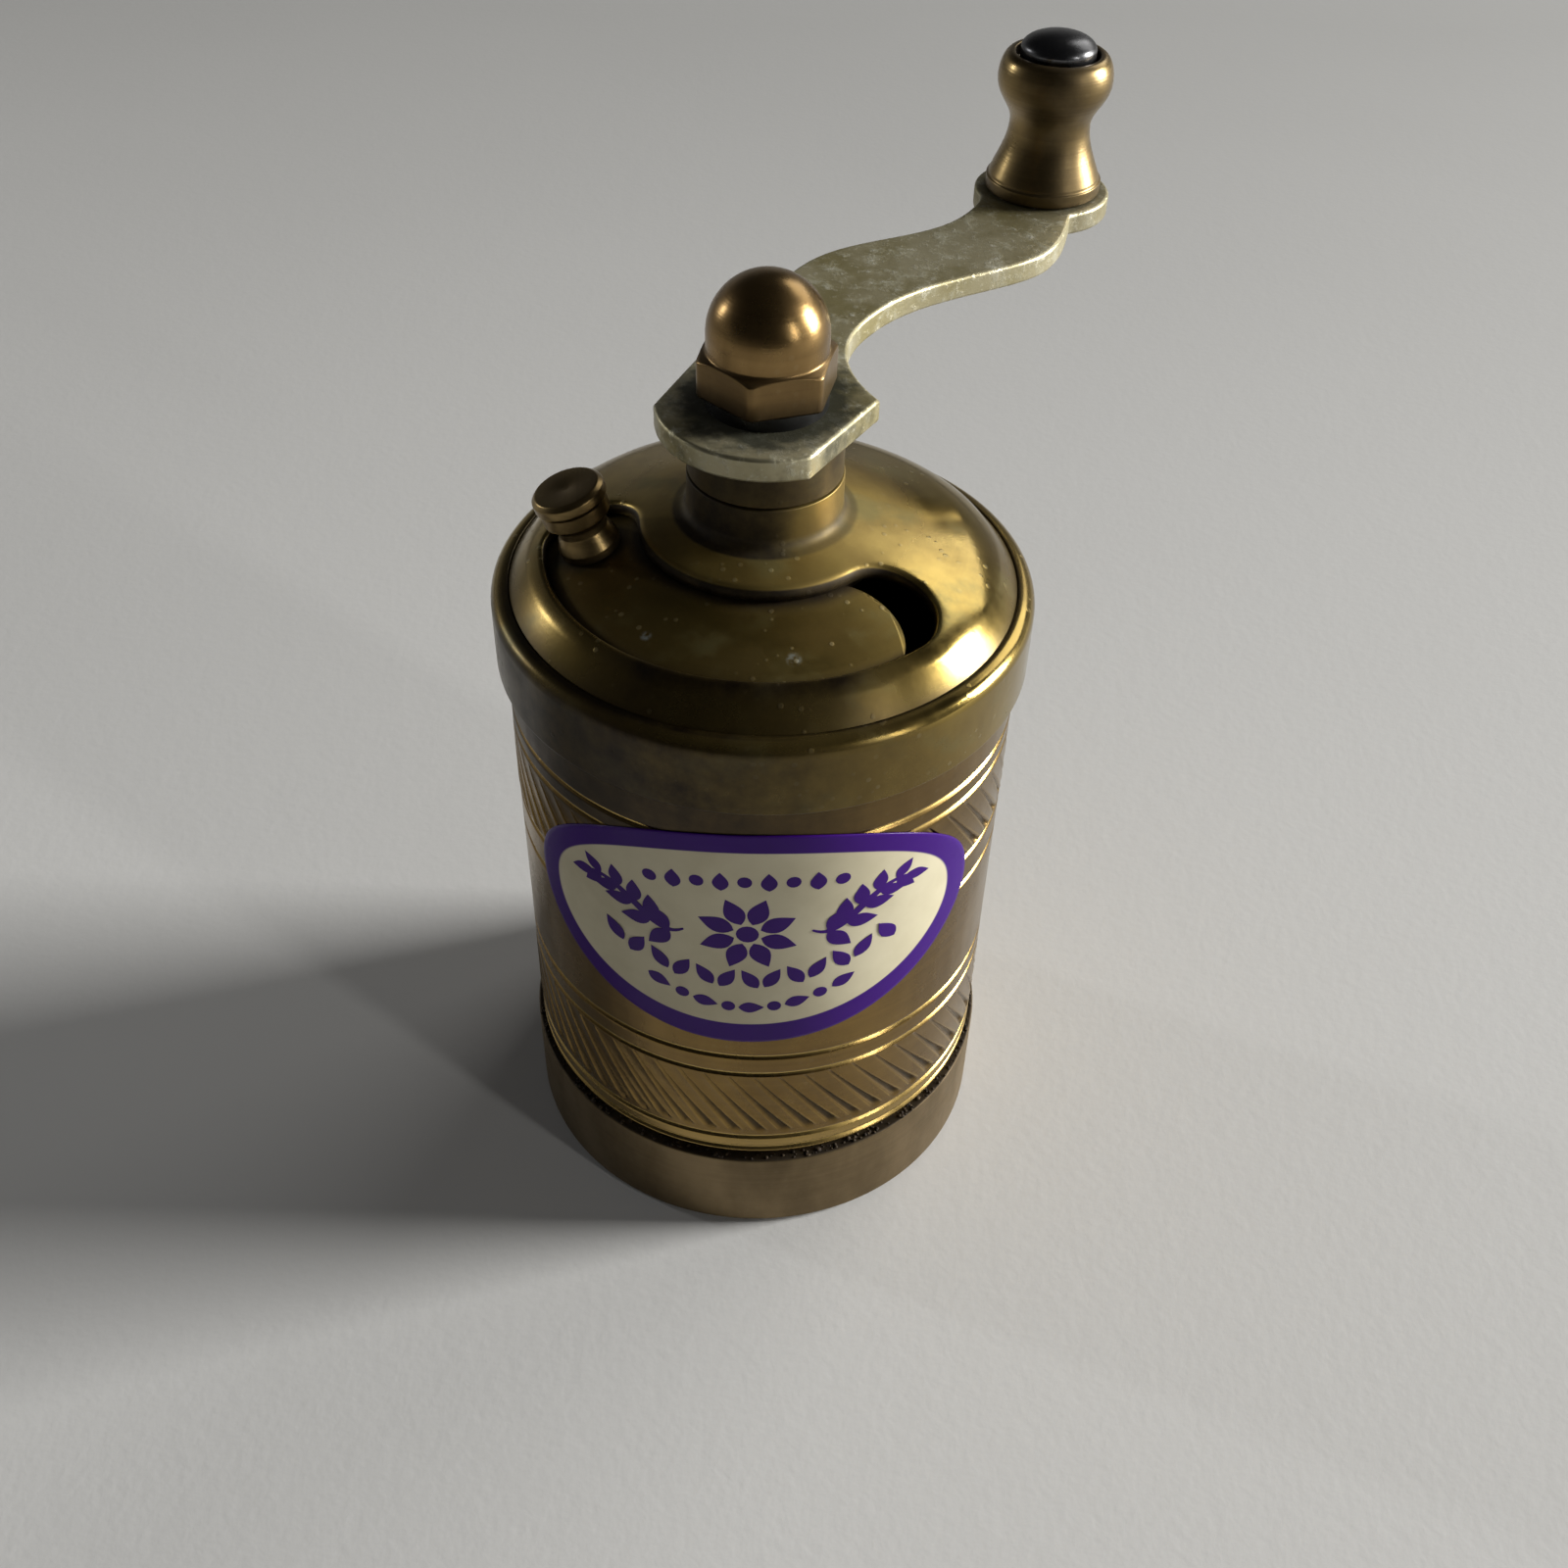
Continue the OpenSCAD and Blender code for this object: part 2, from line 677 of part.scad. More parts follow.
module crank_arm()
    color(nickel)
        translate([0, 0, crank_z])
            rotate([0, 0, crank_bearing])
                difference() {
                    union() {
                        linear_extrude(height = crank_sheet)
                            polygon(crank_outline);
                        translate([crank_len, 0, 0])
                            cylinder(r = eye_r, h = crank_sheet);
                    }
                    translate([0, 0, -eps])
                        linear_extrude(height = crank_sheet + 2 * eps)
                            square(square_w + 2 * seat_gap, center = true);
                    translate([crank_len, 0, -eps])
                        cylinder(r = rivet_r + seat_gap, h = crank_sheet + 2 * eps);
                }

module lock_washer()
    color(dark_steel)
        pipe(lock_washer_d / 2, thread_d / 2 + seat_gap, crank_top, nut_z);

module cap_nut()
    color(bronze)
        translate([0, 0, nut_z])
            rotate([0, 0, nut_turn])
                difference() {
                    union() {
                        intersection() {
                            cylinder(r = nut_af / 2 / cos(30), h = nut_hex_h, $fn = 6);
                            cylinder(r1 = nut_chamfer_r, r2 = nut_af / 2, h = nut_hex_h);
                        }
                        cylinder(d = nut_dome_d, h = nut_hex_h + nut_neck);
                        translate([0, 0, nut_hex_h + nut_neck])
                            sphere(d = nut_dome_d);
                    }
                    translate([0, 0, -nut_dome_d])
                        cylinder(d = 2 * nut_dome_d, h = nut_dome_d);
                    translate([0, 0, -eps])
                        cylinder(d = thread_d + 2 * seat_gap, h = thread_top - nut_z + 2 * seat_gap);
                }

// Turned outline of the grip: band, flare up to the waist, bulb and rim of the recess
grip_base_r = grip_base_d / 2;
grip_waist_r = grip_waist_d / 2;
grip_head_r = grip_head_d / 2;
recess_r = recess_d / 2;
grip_edge = 0.2;
grip_flare = 0.7;
rim_flat = 0.3;
rim_reach = 0.9;
flare_h = [0.26 * grip_h, 0.36 * grip_h];
waist_h = 0.5 * grip_h;
bulb_h = [0.62 * grip_h, 0.68 * grip_h, 0.82 * grip_h, 0.92 * grip_h];
grip_outline = concat(
    [[grip_base_r - grip_edge, 0], [grip_base_r, grip_edge], [grip_base_r, grip_band]],
    bezier([grip_base_r - grip_edge, grip_band + grip_edge], [grip_waist_r + grip_flare, flare_h[0]],
        [grip_waist_r, flare_h[1]], [grip_waist_r, waist_h]),
    bezier([grip_waist_r, waist_h], [grip_waist_r, bulb_h[0]],
        [grip_head_r, bulb_h[1]], [grip_head_r, bulb_h[2]]),
    bezier([grip_head_r, bulb_h[2]], [grip_head_r, bulb_h[3]],
        [recess_r + rim_reach, grip_h], [recess_r + rim_flat, grip_h])
);

module grip_knob()
    color(brass)
        translate([eye_pos[0], eye_pos[1], grip_z])
            rotate_extrude()
                polygon(concat(
                    [[rivet_r + run_fit, 0]],
                    grip_outline,
                    [
                        [recess_r, grip_h], [recess_r, grip_h - recess_depth],
                        [rivet_r + run_fit, grip_h - recess_depth]
                    ]
                ));

module grip_rivet() {
    head_r = rivet_head_d / 2;
    cap_r = (head_r * head_r + rivet_head_h * rivet_head_h) / (2 * rivet_head_h);
    cap_angle = asin((cap_r - rivet_head_h) / cap_r);
    head_z = recess_z + end_float;
    dome_base = head_z + rivet_edge_h;
    color(dark_steel)
        translate([eye_pos[0], eye_pos[1], 0])
            rotate_extrude()
                polygon(concat(
                    [
                        [0, crank_z - peen_h], [peen_end_r, crank_z - peen_h],
                        [peen_r, crank_z], [rivet_r, crank_z], [rivet_r, head_z], [head_r, head_z]
                    ],
                    arc([0, dome_base + rivet_head_h - cap_r], cap_r, cap_angle, 90, arc_steps)
                ));
}

module burr_housing()
    color(dark_brass)
        difference() {
            rotate_extrude()
                polygon([
                    [spigot_r, cup_floor], [spigot_r, body_z], [plug_r, body_z], [plug_r, housing_top],
                    [plug_r - rim_wall, housing_top], [ring_pocket_r, ring_top],
                    [ring_pocket_r, ring_z],
                    [ledge_r, ring_z], [ledge_r, ledge_z], [spigot_r - spigot_wall, ledge_z],
                    [spigot_r - spigot_wall, cup_floor]
                ]);
            at_bridge_screws()
                translate([0, 0, ledge_z - eps])
                    cylinder(r = screw_r + seat_gap, h = screw_grip + drill_room);
            at_dowels()
                cylinder(d = dowel_d + 2 * seat_gap, h = dowel_len + eps);
        }

module at_bridge_screws()
    for (side = [-1, 1])
        translate([0, side * bridge_screw_r, 0])
            children();

module at_dowels()
    for (side = [-1, 1])
        translate([side * ring_pocket_r, 0, ring_top - dowel_len])
            children();

module burr_dowels()
    color(steel)
        at_dowels()
            cylinder(d = dowel_d, h = dowel_len);

// One slanting groove along a cone that runs from r0 at z0 to r1 at z1
module tooth_cut(r0, r1, z0, z1)
    translate([(r0 + r1) / 2, 0, (z0 + z1) / 2])
        rotate([0, atan2(r1 - r0, z1 - z0), 0])
            rotate([tooth_slant, 0, 0])
                cube([2 * tooth_depth, tooth_w, 2 * (z1 - z0)], center = true);

module ring_burr()
    color(steel)
        difference() {
            translate([0, 0, ring_z])
                difference() {
                    cylinder(r = ring_r, h = ring_h);
                    translate([0, 0, -eps])
                        cylinder(r1 = ring_end_r, r2 = ring_mouth_r, h = ring_h + 2 * eps);
                }
            for (i = [0:ring_teeth - 1])
                rotate([0, 0, (i + 0.5) * 360 / ring_teeth])
                    tooth_cut(ring_end_r, ring_mouth_r, ring_z, ring_top);
            at_dowels()
                cylinder(d = dowel_d + 2 * seat_gap, h = dowel_len + eps);
        }

module cone_burr()
    color(steel)
        difference() {
            translate([0, 0, cone_z0])
                cylinder(r1 = cone_end_r, r2 = cone_top_r, h = cone_top - cone_z0);
            for (i = [0:cone_teeth - 1])
                rotate([0, 0, i * 360 / cone_teeth])
                    tooth_cut(cone_end_r, cone_top_r, cone_z0, cone_top);
            translate([-square_w / 2 - run_fit, -square_w / 2 - run_fit, cone_z0 + socket_floor])
                cube([square_w + 2 * run_fit, square_w + 2 * run_fit, cone_top]);
        }

// The spring is one tube swept along a helix between the cone burr and the collar
spring_sides = 8;
turn_steps = 16;
spring_rings = ceil(spring_turns * turn_steps);
spring_low = cone_top + wire_d / 2 + spring_end_gap;
spring_rise = spring_len - wire_d - 2 * spring_end_gap;
function spring_angle(i) = 360 * spring_turns * i / spring_rings;
function spring_point(i) =
    let (a = spring_angle(i))
    [spring_r * cos(a), spring_r * sin(a), spring_low + spring_rise * i / spring_rings];
function spring_ring(i) =
    let (a = spring_angle(i), climb = atan2(spring_rise, 2 * PI * spring_r * spring_turns))
    [for (k = [0:spring_sides - 1]) let (b = k * 360 / spring_sides)
        spring_point(i) + wire_d / 2 * (cos(b) * [cos(a), sin(a), 0]
            + sin(b) * [sin(climb) * sin(a), -sin(climb) * cos(a), cos(climb)])];
spring_gap = min([for (i = [0:spring_rings], j = [i + turn_steps / 2:spring_rings])
    norm(spring_point(i) - spring_point(j))]) - wire_d;
echo(spring_gap = spring_gap);

module burr_spring() {
    last = spring_rings * spring_sides;
    color(steel)
        polyhedron(
            points = [for (i = [0:spring_rings]) each spring_ring(i)],
            faces = concat(
                [for (i = [0:spring_rings - 1], k = [0:spring_sides - 1])
                    let (a = i * spring_sides + k, b = i * spring_sides + (k + 1) % spring_sides)
                    each [[a, a + spring_sides, b], [b, a + spring_sides, b + spring_sides]]],
                [for (k = [1:spring_sides - 2]) [0, k, k + 1]],
                [for (k = [1:spring_sides - 2]) [last, last + k + 1, last + k]]
            )
        );
}

module bearing_spider()
    color(satin_brass)
        difference() {
            union() {
                pipe(plug_r, plug_r - spider_w, housing_top, housing_top + spider_h);
                translate([0, 0, boss_z])
                    cylinder(r = boss_r, h = housing_top + spider_h - boss_z);
                for (i = [0:spider_arms - 1])
                    rotate([0, 0, spider_turn + i * 360 / spider_arms])
                        translate([0, -spider_arm / 2, housing_top])
                            cube([plug_r - spider_w / 2, spider_arm, spider_h]);
            }
            translate([0, 0, boss_z - eps])
                cylinder(r = bush_r + seat_gap, h = spider_bush_h + spider_h);
        }

module spider_bush()
    color(bronze)
        pipe(bush_r, bush_bore_r, boss_z, boss_z + spider_bush_h);

module bridge()
    color(steel)
        difference() {
            intersection() {
                translate([-bridge_w / 2, -spigot_r, bridge_z])
                    cube([bridge_w, 2 * spigot_r, bridge_sheet]);
                translate([0, 0, bridge_z])
                    cylinder(r = spigot_r - spigot_wall - bridge_gap, h = bridge_sheet);
            }
            translate([0, 0, bridge_z - eps])
                cylinder(r = stem_r + run_fit, h = bridge_sheet + 2 * eps);
            at_bridge_screws()
                translate([0, 0, bridge_z - eps])
                    cylinder(r = screw_r + seat_gap, h = bridge_sheet + 2 * eps);
        }

module bridge_screws()
    color(dark_steel)
        at_bridge_screws()
            difference() {
                union() {
                    translate([0, 0, bridge_z - screw_head_h])
                        cylinder(r = screw_head_r, h = screw_head_h);
                    translate([0, 0, bridge_z - eps])
                        cylinder(r = screw_r, h = bridge_sheet + screw_grip + eps);
                }
                translate([0, 0, bridge_z - screw_head_h])
                    cube([3 * screw_head_r, screw_slot, screw_head_h], center = true);
            }

module adjusting_screw()
    color(bronze)
        difference() {
            union() {
                translate([0, 0, head_top - adjuster_h])
                    cylinder(d = adjuster_d, h = adjuster_h);
                translate([0, 0, head_top - eps])
                    cylinder(r = stem_r, h = stem_top - head_top + eps);
            }
            translate([0, 0, seat_floor])
                cylinder(r = ball_r + run_fit, h = ball_d);
            translate([0, 0, head_top - adjuster_h])
                cube([2 * adjuster_d, adjuster_slot, adjuster_h], center = true);
        }

module thrust_ball()
    color(steel)
        translate([0, 0, ball_z])
            sphere(r = ball_r);

catch_cup();
body_tube();
label();
lid();
neck_bush();
shutter_plate();
tab_knob();
spring_washer_ring();
retaining_nut();
spindle();
crank_spacer();
crank_arm();
lock_washer();
cap_nut();
grip_knob();
grip_rivet();
burr_housing();
ring_burr();
burr_dowels();
cone_burr();
burr_spring();
bearing_spider();
spider_bush();
thrust_collar();
collar_pin();
bridge();
bridge_screws();
adjusting_screw();
thrust_ball();
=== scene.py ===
"""Looks of a small brass hand mill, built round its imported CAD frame. Sizes are in millimetres."""

import math
import random
from math import atan2, cos, hypot, pi, radians, sin, sqrt, tan

import bmesh
import bpy
from mathutils import Matrix, Vector
from mathutils.geometry import delaunay_2d_cdt


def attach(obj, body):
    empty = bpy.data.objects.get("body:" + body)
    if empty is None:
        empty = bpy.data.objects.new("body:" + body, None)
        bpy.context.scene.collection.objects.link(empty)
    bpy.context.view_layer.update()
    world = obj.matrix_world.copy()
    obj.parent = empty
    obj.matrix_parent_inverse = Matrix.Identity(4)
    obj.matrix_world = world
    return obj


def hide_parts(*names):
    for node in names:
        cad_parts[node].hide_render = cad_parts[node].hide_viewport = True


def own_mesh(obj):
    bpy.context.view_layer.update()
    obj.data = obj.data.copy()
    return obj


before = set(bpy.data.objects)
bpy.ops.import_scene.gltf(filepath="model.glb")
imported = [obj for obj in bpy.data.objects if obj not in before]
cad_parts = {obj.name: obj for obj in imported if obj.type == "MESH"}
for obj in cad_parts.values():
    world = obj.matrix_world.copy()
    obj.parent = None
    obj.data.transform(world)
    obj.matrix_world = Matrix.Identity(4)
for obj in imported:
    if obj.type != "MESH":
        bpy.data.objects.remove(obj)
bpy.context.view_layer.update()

MM = 0.001
STEPS = 192

# Sizes shared with the CAD source
BODY_R = 21.7
TUBE_IN_R = 20.6
BODY_Z = 10.75
BODY_TOP = 59.6
GROOVES = (11.3, 12.95, 22.1, 24.5, 37.4, 40.7, 48.6, 50.4)
GROOVE_HALF = 0.35
GROOVE_DEPTH = 0.3
CUP_R = 22.2
CUP_IN_R = 21.0
CUP_H = 9.9
CUP_FLOOR = 1.2
LID_R = 22.5
LID_IN_R = 21.76
SKIRT_Z = 54.4
RIM_Z = 61.2
RIM_ROUND = 1.3
CREASE = 0.3
DOME_R = 20.9
LID_SHEET = 1.0
SHOULDER_R = 7.8
SHOULDER_ANGLE = radians(59)
DOME_SLOPE = radians(17)
SHOULDER_C = (DOME_R - SHOULDER_R * sin(SHOULDER_ANGLE), RIM_Z - SHOULDER_R * cos(SHOULDER_ANGLE))
NECK_R = 6.3
NECK_BORE_R = 5.32
NECK_TOP = 71.06
NECK_FILLET = 1.0
SLOT_R = 14.05
SLOT_HALF = 3.8
SLOT_FROM = radians(184)
SLOT_SWEEP = radians(128.5)
SLOT_EDGE = 0.6
SHUTTER_TOP = 1.15
SHUTTER_UNDER = 2.15
SHUTTER_HALF = 4.9
SHUTTER_HUB_R = 9.65
SHUTTER_BORE_R = 5.35
SHUTTER_FROM = radians(177.5)
SHUTTER_SWEEP = radians(118)
TAB_BEARING = radians(185.5)
TAB_H = 5.9
TAB_TAIL_R = 1.0
TAB_FOOT_R = 2.55
TAB_WAIST_R = 2.05
TAB_HEAD_R = 3.0
CRANK_Z = 75.01
CRANK_SHEET = 2.0
CRANK_LEN = 48.1
CRANK_BEARING = radians(57.9)
HUB_R = 8.7
HUB_FLAT = 7.1
EYE_R = 6.3
SQUARE_HALF = 2.82
SPACER_R = 6.2
SPACER_Z = 71.21
SPINDLE_R = 4.0
NUT_Z = 78.11
NUT_HALF = 4.9
NUT_HEX_H = 3.2
NUT_NECK = 1.4
NUT_DOME_R = 4.7
NUT_TURN = radians(257)
NUT_BORE_R = 2.52
NUT_BORE_TOP = 7.12
GRIP_Z = 77.16
GRIP_H = 12.3
GRIP_BASE_R = 5.35
GRIP_BAND = 1.1
GRIP_WAIST_R = 3.7
GRIP_HEAD_R = 5.2
RECESS_R = 3.8
RECESS_DEPTH = 1.1
RIVET_R = 2.0
RIVET_HEAD_R = 3.4
RIVET_EDGE = 1.35
RIVET_CROWN = 1.3
WIRE_R = 0.4
SPRING_R = 5.0
SPRING_TURNS = 4
SPRING_FOOT = 20.05
SPRING_TOP = 26.15
LABEL_HALF_W = 18.1
LABEL_HALF_H = 12.4
LABEL_Z = 39.25
LABEL_SQUARE = 2.15
LABEL_TURN = radians(-2)
LABEL_TILT = radians(2.5)
LABEL_R = 21.72
LABEL_SHEET = 0.12
FIELD_HALF_W = 16.5
FIELD_HALF_H = 10.25
FIELD_RISE = 0.25


def polar(radius, angle):
    return Vector((radius * cos(angle), radius * sin(angle)))


def circle(radius, steps=STEPS):
    return [polar(radius, 2 * pi * k / steps) for k in range(steps)]


# Shader expressions

def math_method(operation, swapped=False):
    """A method that adds a math node for an operation."""
    def method(self, other=0.0):
        pair = (other, self) if swapped else (self, other)
        return self.finish.node("Math", dict(enumerate(pair)), operation=operation)
    return method


class Wire:
    """An output socket of a node tree that takes part in sums and products."""

    __add__ = math_method("ADD")
    __radd__ = math_method("ADD", True)
    __sub__ = math_method("SUBTRACT")
    __rsub__ = math_method("SUBTRACT", True)
    __mul__ = math_method("MULTIPLY")
    __truediv__ = math_method("DIVIDE")
    __pow__ = math_method("POWER")
    __abs__ = math_method("ABSOLUTE")

    def __init__(self, finish, socket):
        self.finish = finish
        self.socket = socket


class Finish:
    """A node tree written as expressions, of a material or of the room."""

    def __init__(self, owner, shader, output):
        owner.use_nodes = True
        self.owner = owner
        self.tree = owner.node_tree
        self.tree.nodes.clear()
        self.shader = self.tree.nodes.new("ShaderNode" + shader)
        end = self.tree.nodes.new("ShaderNode" + output)
        self.tree.links.new(self.shader.outputs[0], end.inputs[0])

    def feed(self, node, sockets):
        for key, value in sockets.items():
            if isinstance(value, Wire):
                self.tree.links.new(value.socket, node.inputs[key])
            else:
                node.inputs[key].default_value = value

    def node(self, kind, sockets, out=0, **settings):
        made = self.tree.nodes.new("ShaderNode" + kind)
        for key, value in settings.items():
            setattr(made, key, value)
        self.feed(made, sockets)
        return Wire(self, made.outputs[out])

    def shade(self, colour, rough, normal, more):
        self.feed(self.shader, {"Base Color": colour, "Roughness": rough, "Normal": normal, **more})
        return self.owner


def surface(name):
    return Finish(bpy.data.materials.new(name), "BsdfPrincipled", "OutputMaterial")


def place(f):
    return f.node("TexCoord", {}, "Object")


def part_of(f, vector, axis):
    return f.node("SeparateXYZ", {0: vector}, axis)


def noise(f, scale, detail=4.0, vector=None, roughness=0.55):
    where = place(f) if vector is None else vector
    return f.node("TexNoise", {"Vector": where, "Scale": scale, "Detail": detail, "Roughness": roughness})


def lines(f, value, scale):
    sockets = {"W": value, "Scale": scale, "Detail": 3.0, "Roughness": 0.7}
    return f.node("TexNoise", sockets, noise_dimensions="1D")


def between(f, value, low, high):
    """0 up to low and 1 from high, with a soft rise between; low may lie above high."""
    return f.node("MapRange", {0: value, 1: low, 2: high}, interpolation_type="SMOOTHSTEP")


def mixed(f, factor, first, second):
    first, second = (c if isinstance(c, Wire) else (*c, 1.0) for c in (first, second))
    return f.node("Mix", {0: factor, 6: first, 7: second}, 2, data_type="RGBA")


def specks(f, scale, size):
    distance = f.node("TexVoronoi", {"Vector": place(f), "Scale": scale}, "Distance")
    return between(f, distance, size, size * 0.6)


def bump(f, height, distance, strength):
    return f.node("Bump", {"Strength": strength, "Distance": distance, "Height": height}, "Normal")


def grime_shade_wear_mark(f):
    """The mesh's own mark: above 0 in dirty hollows and where shade is painted, below 0 on bare worn
    metal.
    """
    return f.node("Attribute", {}, "Fac", attribute_name="grime_shade_wear_mark")


def vectors(f, operation, first, second=(0.0, 0.0, 0.0), out=0):
    return f.node("VectorMath", {0: first, 1: second}, out, operation=operation)


def from_axis(f, where):
    return vectors(f, "LENGTH", vectors(f, "MULTIPLY", where, (1.0, 1.0, 0.0)), out="Value")


def near_point(f, where, point, reach):
    away = vectors(f, "DISTANCE", where, tuple(c * MM for c in point), "Value")
    return between(f, away, reach * MM, 0.3 * reach * MM)


def aged_brass(name, bright, brown, grime_and_shade_colour, polish, turned, stain=0.5, tarnish=0.0, lines_by="Z",
               dull_within=0.0, salts=()):
    """Brass with a brown bloom, dirty hollows and painted shade, bare worn edges, turning lines and a few
    water spots.
    """
    f = surface(name)
    where = place(f)
    out = from_axis(f, where)
    along = out if lines_by == "R" else part_of(f, where, "Z")
    bloom = between(f, noise(f, 110.0, 5.0, vectors(f, "MULTIPLY", where, (1.0, 1.0, 0.4))), 0.34, 0.68)
    mottle = noise(f, 420.0, 6.0, roughness=0.65)
    fine = noise(f, 2600.0, 2.0)
    turning = lines(f, along, 5200.0)
    bands = lines(f, along, 1100.0)
    # Darkening by the mesh's mark: grime in the hollows together with painted shade.
    hollow = grime_shade_wear_mark(f)
    dirt_and_shade = between(f, hollow, 0.0, 1.0)
    bare = between(f, hollow, 0.0, -1.0)
    spots = specks(f, 900.0, 0.24) * between(f, noise(f, 150.0, 2.0), 0.45, 0.6) * (0.2 + 1.6 * tarnish)
    patina = bloom * stain + (mottle - 0.5) * 0.5 + (bands - 0.5) * (0.9 * turned)
    colour = mixed(f, patina, bright, brown)
    green = between(f, noise(f, 190.0, 5.0), 0.5, 0.72) * tarnish
    colour = mixed(f, green, colour, (0.13, 0.145, 0.07))
    colour = mixed(f, spots * 0.2, colour, (0.55, 0.5, 0.33))
    colour = mixed(f, bare * 0.85, colour, (0.74, 0.53, 0.18))
    colour = mixed(f, dirt_and_shade * (0.75 + mottle * 0.4), colour, grime_and_shade_colour)
    rough = polish + bloom * 0.1 + (mottle - 0.5) * 0.16 + dirt_and_shade * 0.16
    rough = rough + green * 0.2 + spots * 0.12 + bare * 0.05
    skin = green * 0.25 + dirt_and_shade * 0.3
    if dull_within:
        dull = between(f, out + (mottle - 0.5) * 0.004, (dull_within + 3) * MM, (dull_within - 2) * MM)
        rough = rough + dull * 0.22
        skin = skin + dull * 0.15
    for point, reach in salts:
        salt = near_point(f, where, point, reach) * between(f, noise(f, 1800.0, 4.0), 0.35, 0.6)
        colour = mixed(f, salt * 0.7, colour, (0.28, 0.34, 0.36))
        rough = rough + salt * 0.25
    relief = turning * turned + fine * 0.3 + mottle * 0.35 + spots * 1.5
    return f.shade(colour, rough, bump(f, relief, 0.00002, 0.5), {"Metallic": 1.0 - skin})


def pale_plate(name):
    """Worn nickel brass of the crank: dull, with chalky patches, darker round the nut and round the grip's
    foot.
    """
    f = surface(name)
    out = from_axis(f, place(f))
    cloud = between(f, noise(f, 110.0, 5.0), 0.38, 0.64)
    patches = between(f, noise(f, 480.0, 7.0, roughness=0.72), 0.48, 0.68)
    flecks = between(f, noise(f, 1100.0, 5.0, roughness=0.75), 0.54, 0.66)
    grain = noise(f, 2800.0, 3.0)
    bare = between(f, grime_shade_wear_mark(f), 0.0, -1.0)
    colour = mixed(f, cloud, (0.385, 0.345, 0.218), (0.26, 0.224, 0.103))
    colour = mixed(f, patches * 0.55, colour, (0.42, 0.415, 0.33))
    colour = mixed(f, flecks * (0.25 + patches * 0.45), colour, (0.7, 0.69, 0.6))
    # Darker round the nut.
    ragged = out + (noise(f, 520.0, 5.0) - 0.5) * 0.006
    stain = between(f, ragged, 9.0 * MM, 5.8 * MM)
    colour = mixed(f, stain * 0.93, colour, (0.028, 0.029, 0.018))
    darker_round_grip = near_point(f, place(f), (*polar(CRANK_LEN, CRANK_BEARING), CRANK_Z + CRANK_SHEET), 9.0)
    colour = mixed(f, darker_round_grip * 0.75, colour, (0.075, 0.058, 0.03))
    colour = mixed(f, bare * (0.25 + flecks * 0.6), colour, (0.7, 0.64, 0.42))
    rough = 0.46 + cloud * 0.1 + (grain - 0.5) * 0.2 + stain * 0.25 - bare * 0.12
    normal = bump(f, patches * 0.6 + flecks * 0.5 + grain * 0.4, 0.00004, 0.6)
    return f.shade(colour, rough, normal, {"Metallic": 0.6 + cloud * 0.2 - patches * 0.3 + bare * 0.2})


def machined_steel(name, bright, dark, polish):
    """Turned steel with a blotchy oxide skin."""
    f = surface(name)
    cloud = between(f, noise(f, 160.0, 5.0), 0.35, 0.7)
    grain = noise(f, 2400.0, 3.0)
    turning = lines(f, part_of(f, place(f), "Z"), 4200.0)
    colour = mixed(f, cloud, bright, dark)
    rough = polish + cloud * 0.12 + (grain - 0.5) * 0.1
    return f.shade(colour, rough, bump(f, turning * 0.6 + grain * 0.4, 0.00002, 0.4), {"Metallic": 1.0})


def varnish(cloud):
    return {"Coat Weight": 0.02 + cloud * 0.08, "Coat Roughness": 0.14, "Specular IOR Level": 0.12}


def foil_label(name):
    """Glossy printed foil: a violet border round a cream field, with a little grime."""
    f = surface(name)
    sockets = {"Vector": place(f), "Angle": -LABEL_TURN}
    faced = f.node("VectorRotate", sockets, rotation_type="Z_AXIS")
    sockets = {"Vector": faced, "Center": (0, 0, LABEL_Z * MM), "Angle": LABEL_TILT}
    where = f.node("VectorRotate", sockets, rotation_type="Y_AXIS")
    across = abs(part_of(f, where, "X"))
    up = abs(part_of(f, where, "Z") - (LABEL_Z + FIELD_RISE) * MM)
    level = (across / (FIELD_HALF_W * MM)) ** LABEL_SQUARE + (up / (FIELD_HALF_H * MM)) ** LABEL_SQUARE
    field = between(f, level, 1.012, 0.988)
    cloud = noise(f, 130.0, 4.0)
    fibre = noise(f, 1500.0, 3.0)
    violet = mixed(f, cloud, (0.031, 0.002, 0.125), (0.043, 0.003, 0.17))
    cream = mixed(f, between(f, cloud, 0.35, 0.7), (0.59, 0.54, 0.39), (0.51, 0.46, 0.32))
    rough = 0.34 + (fibre - 0.5) * 0.1 + cloud * 0.05
    normal = bump(f, fibre * 0.3 + cloud, 0.00003, 0.25)
    return f.shade(mixed(f, field, violet, cream), rough, normal, varnish(cloud))


def violet_ink(name):
    """Printed violet ink, a little uneven."""
    f = surface(name)
    cloud = noise(f, 300.0, 3.0)
    grain = noise(f, 2000.0, 3.0)
    colour = mixed(f, cloud, (0.031, 0.003, 0.12), (0.045, 0.005, 0.17))
    rough = 0.36 + (grain - 0.5) * 0.1
    return f.shade(colour, rough, bump(f, grain, 0.00001, 0.2), varnish(cloud))


def coffee_crumb(name):
    """Ground coffee, dark brown with paler flecks."""
    f = surface(name)
    flake = noise(f, 2600.0, 4.0, roughness=0.7)
    colour = mixed(f, between(f, flake, 0.45, 0.72), (0.018, 0.011, 0.006), (0.11, 0.075, 0.035))
    return f.shade(colour, 0.6 + flake * 0.3, bump(f, flake, 0.00008, 0.8), {"Specular IOR Level": 0.3})


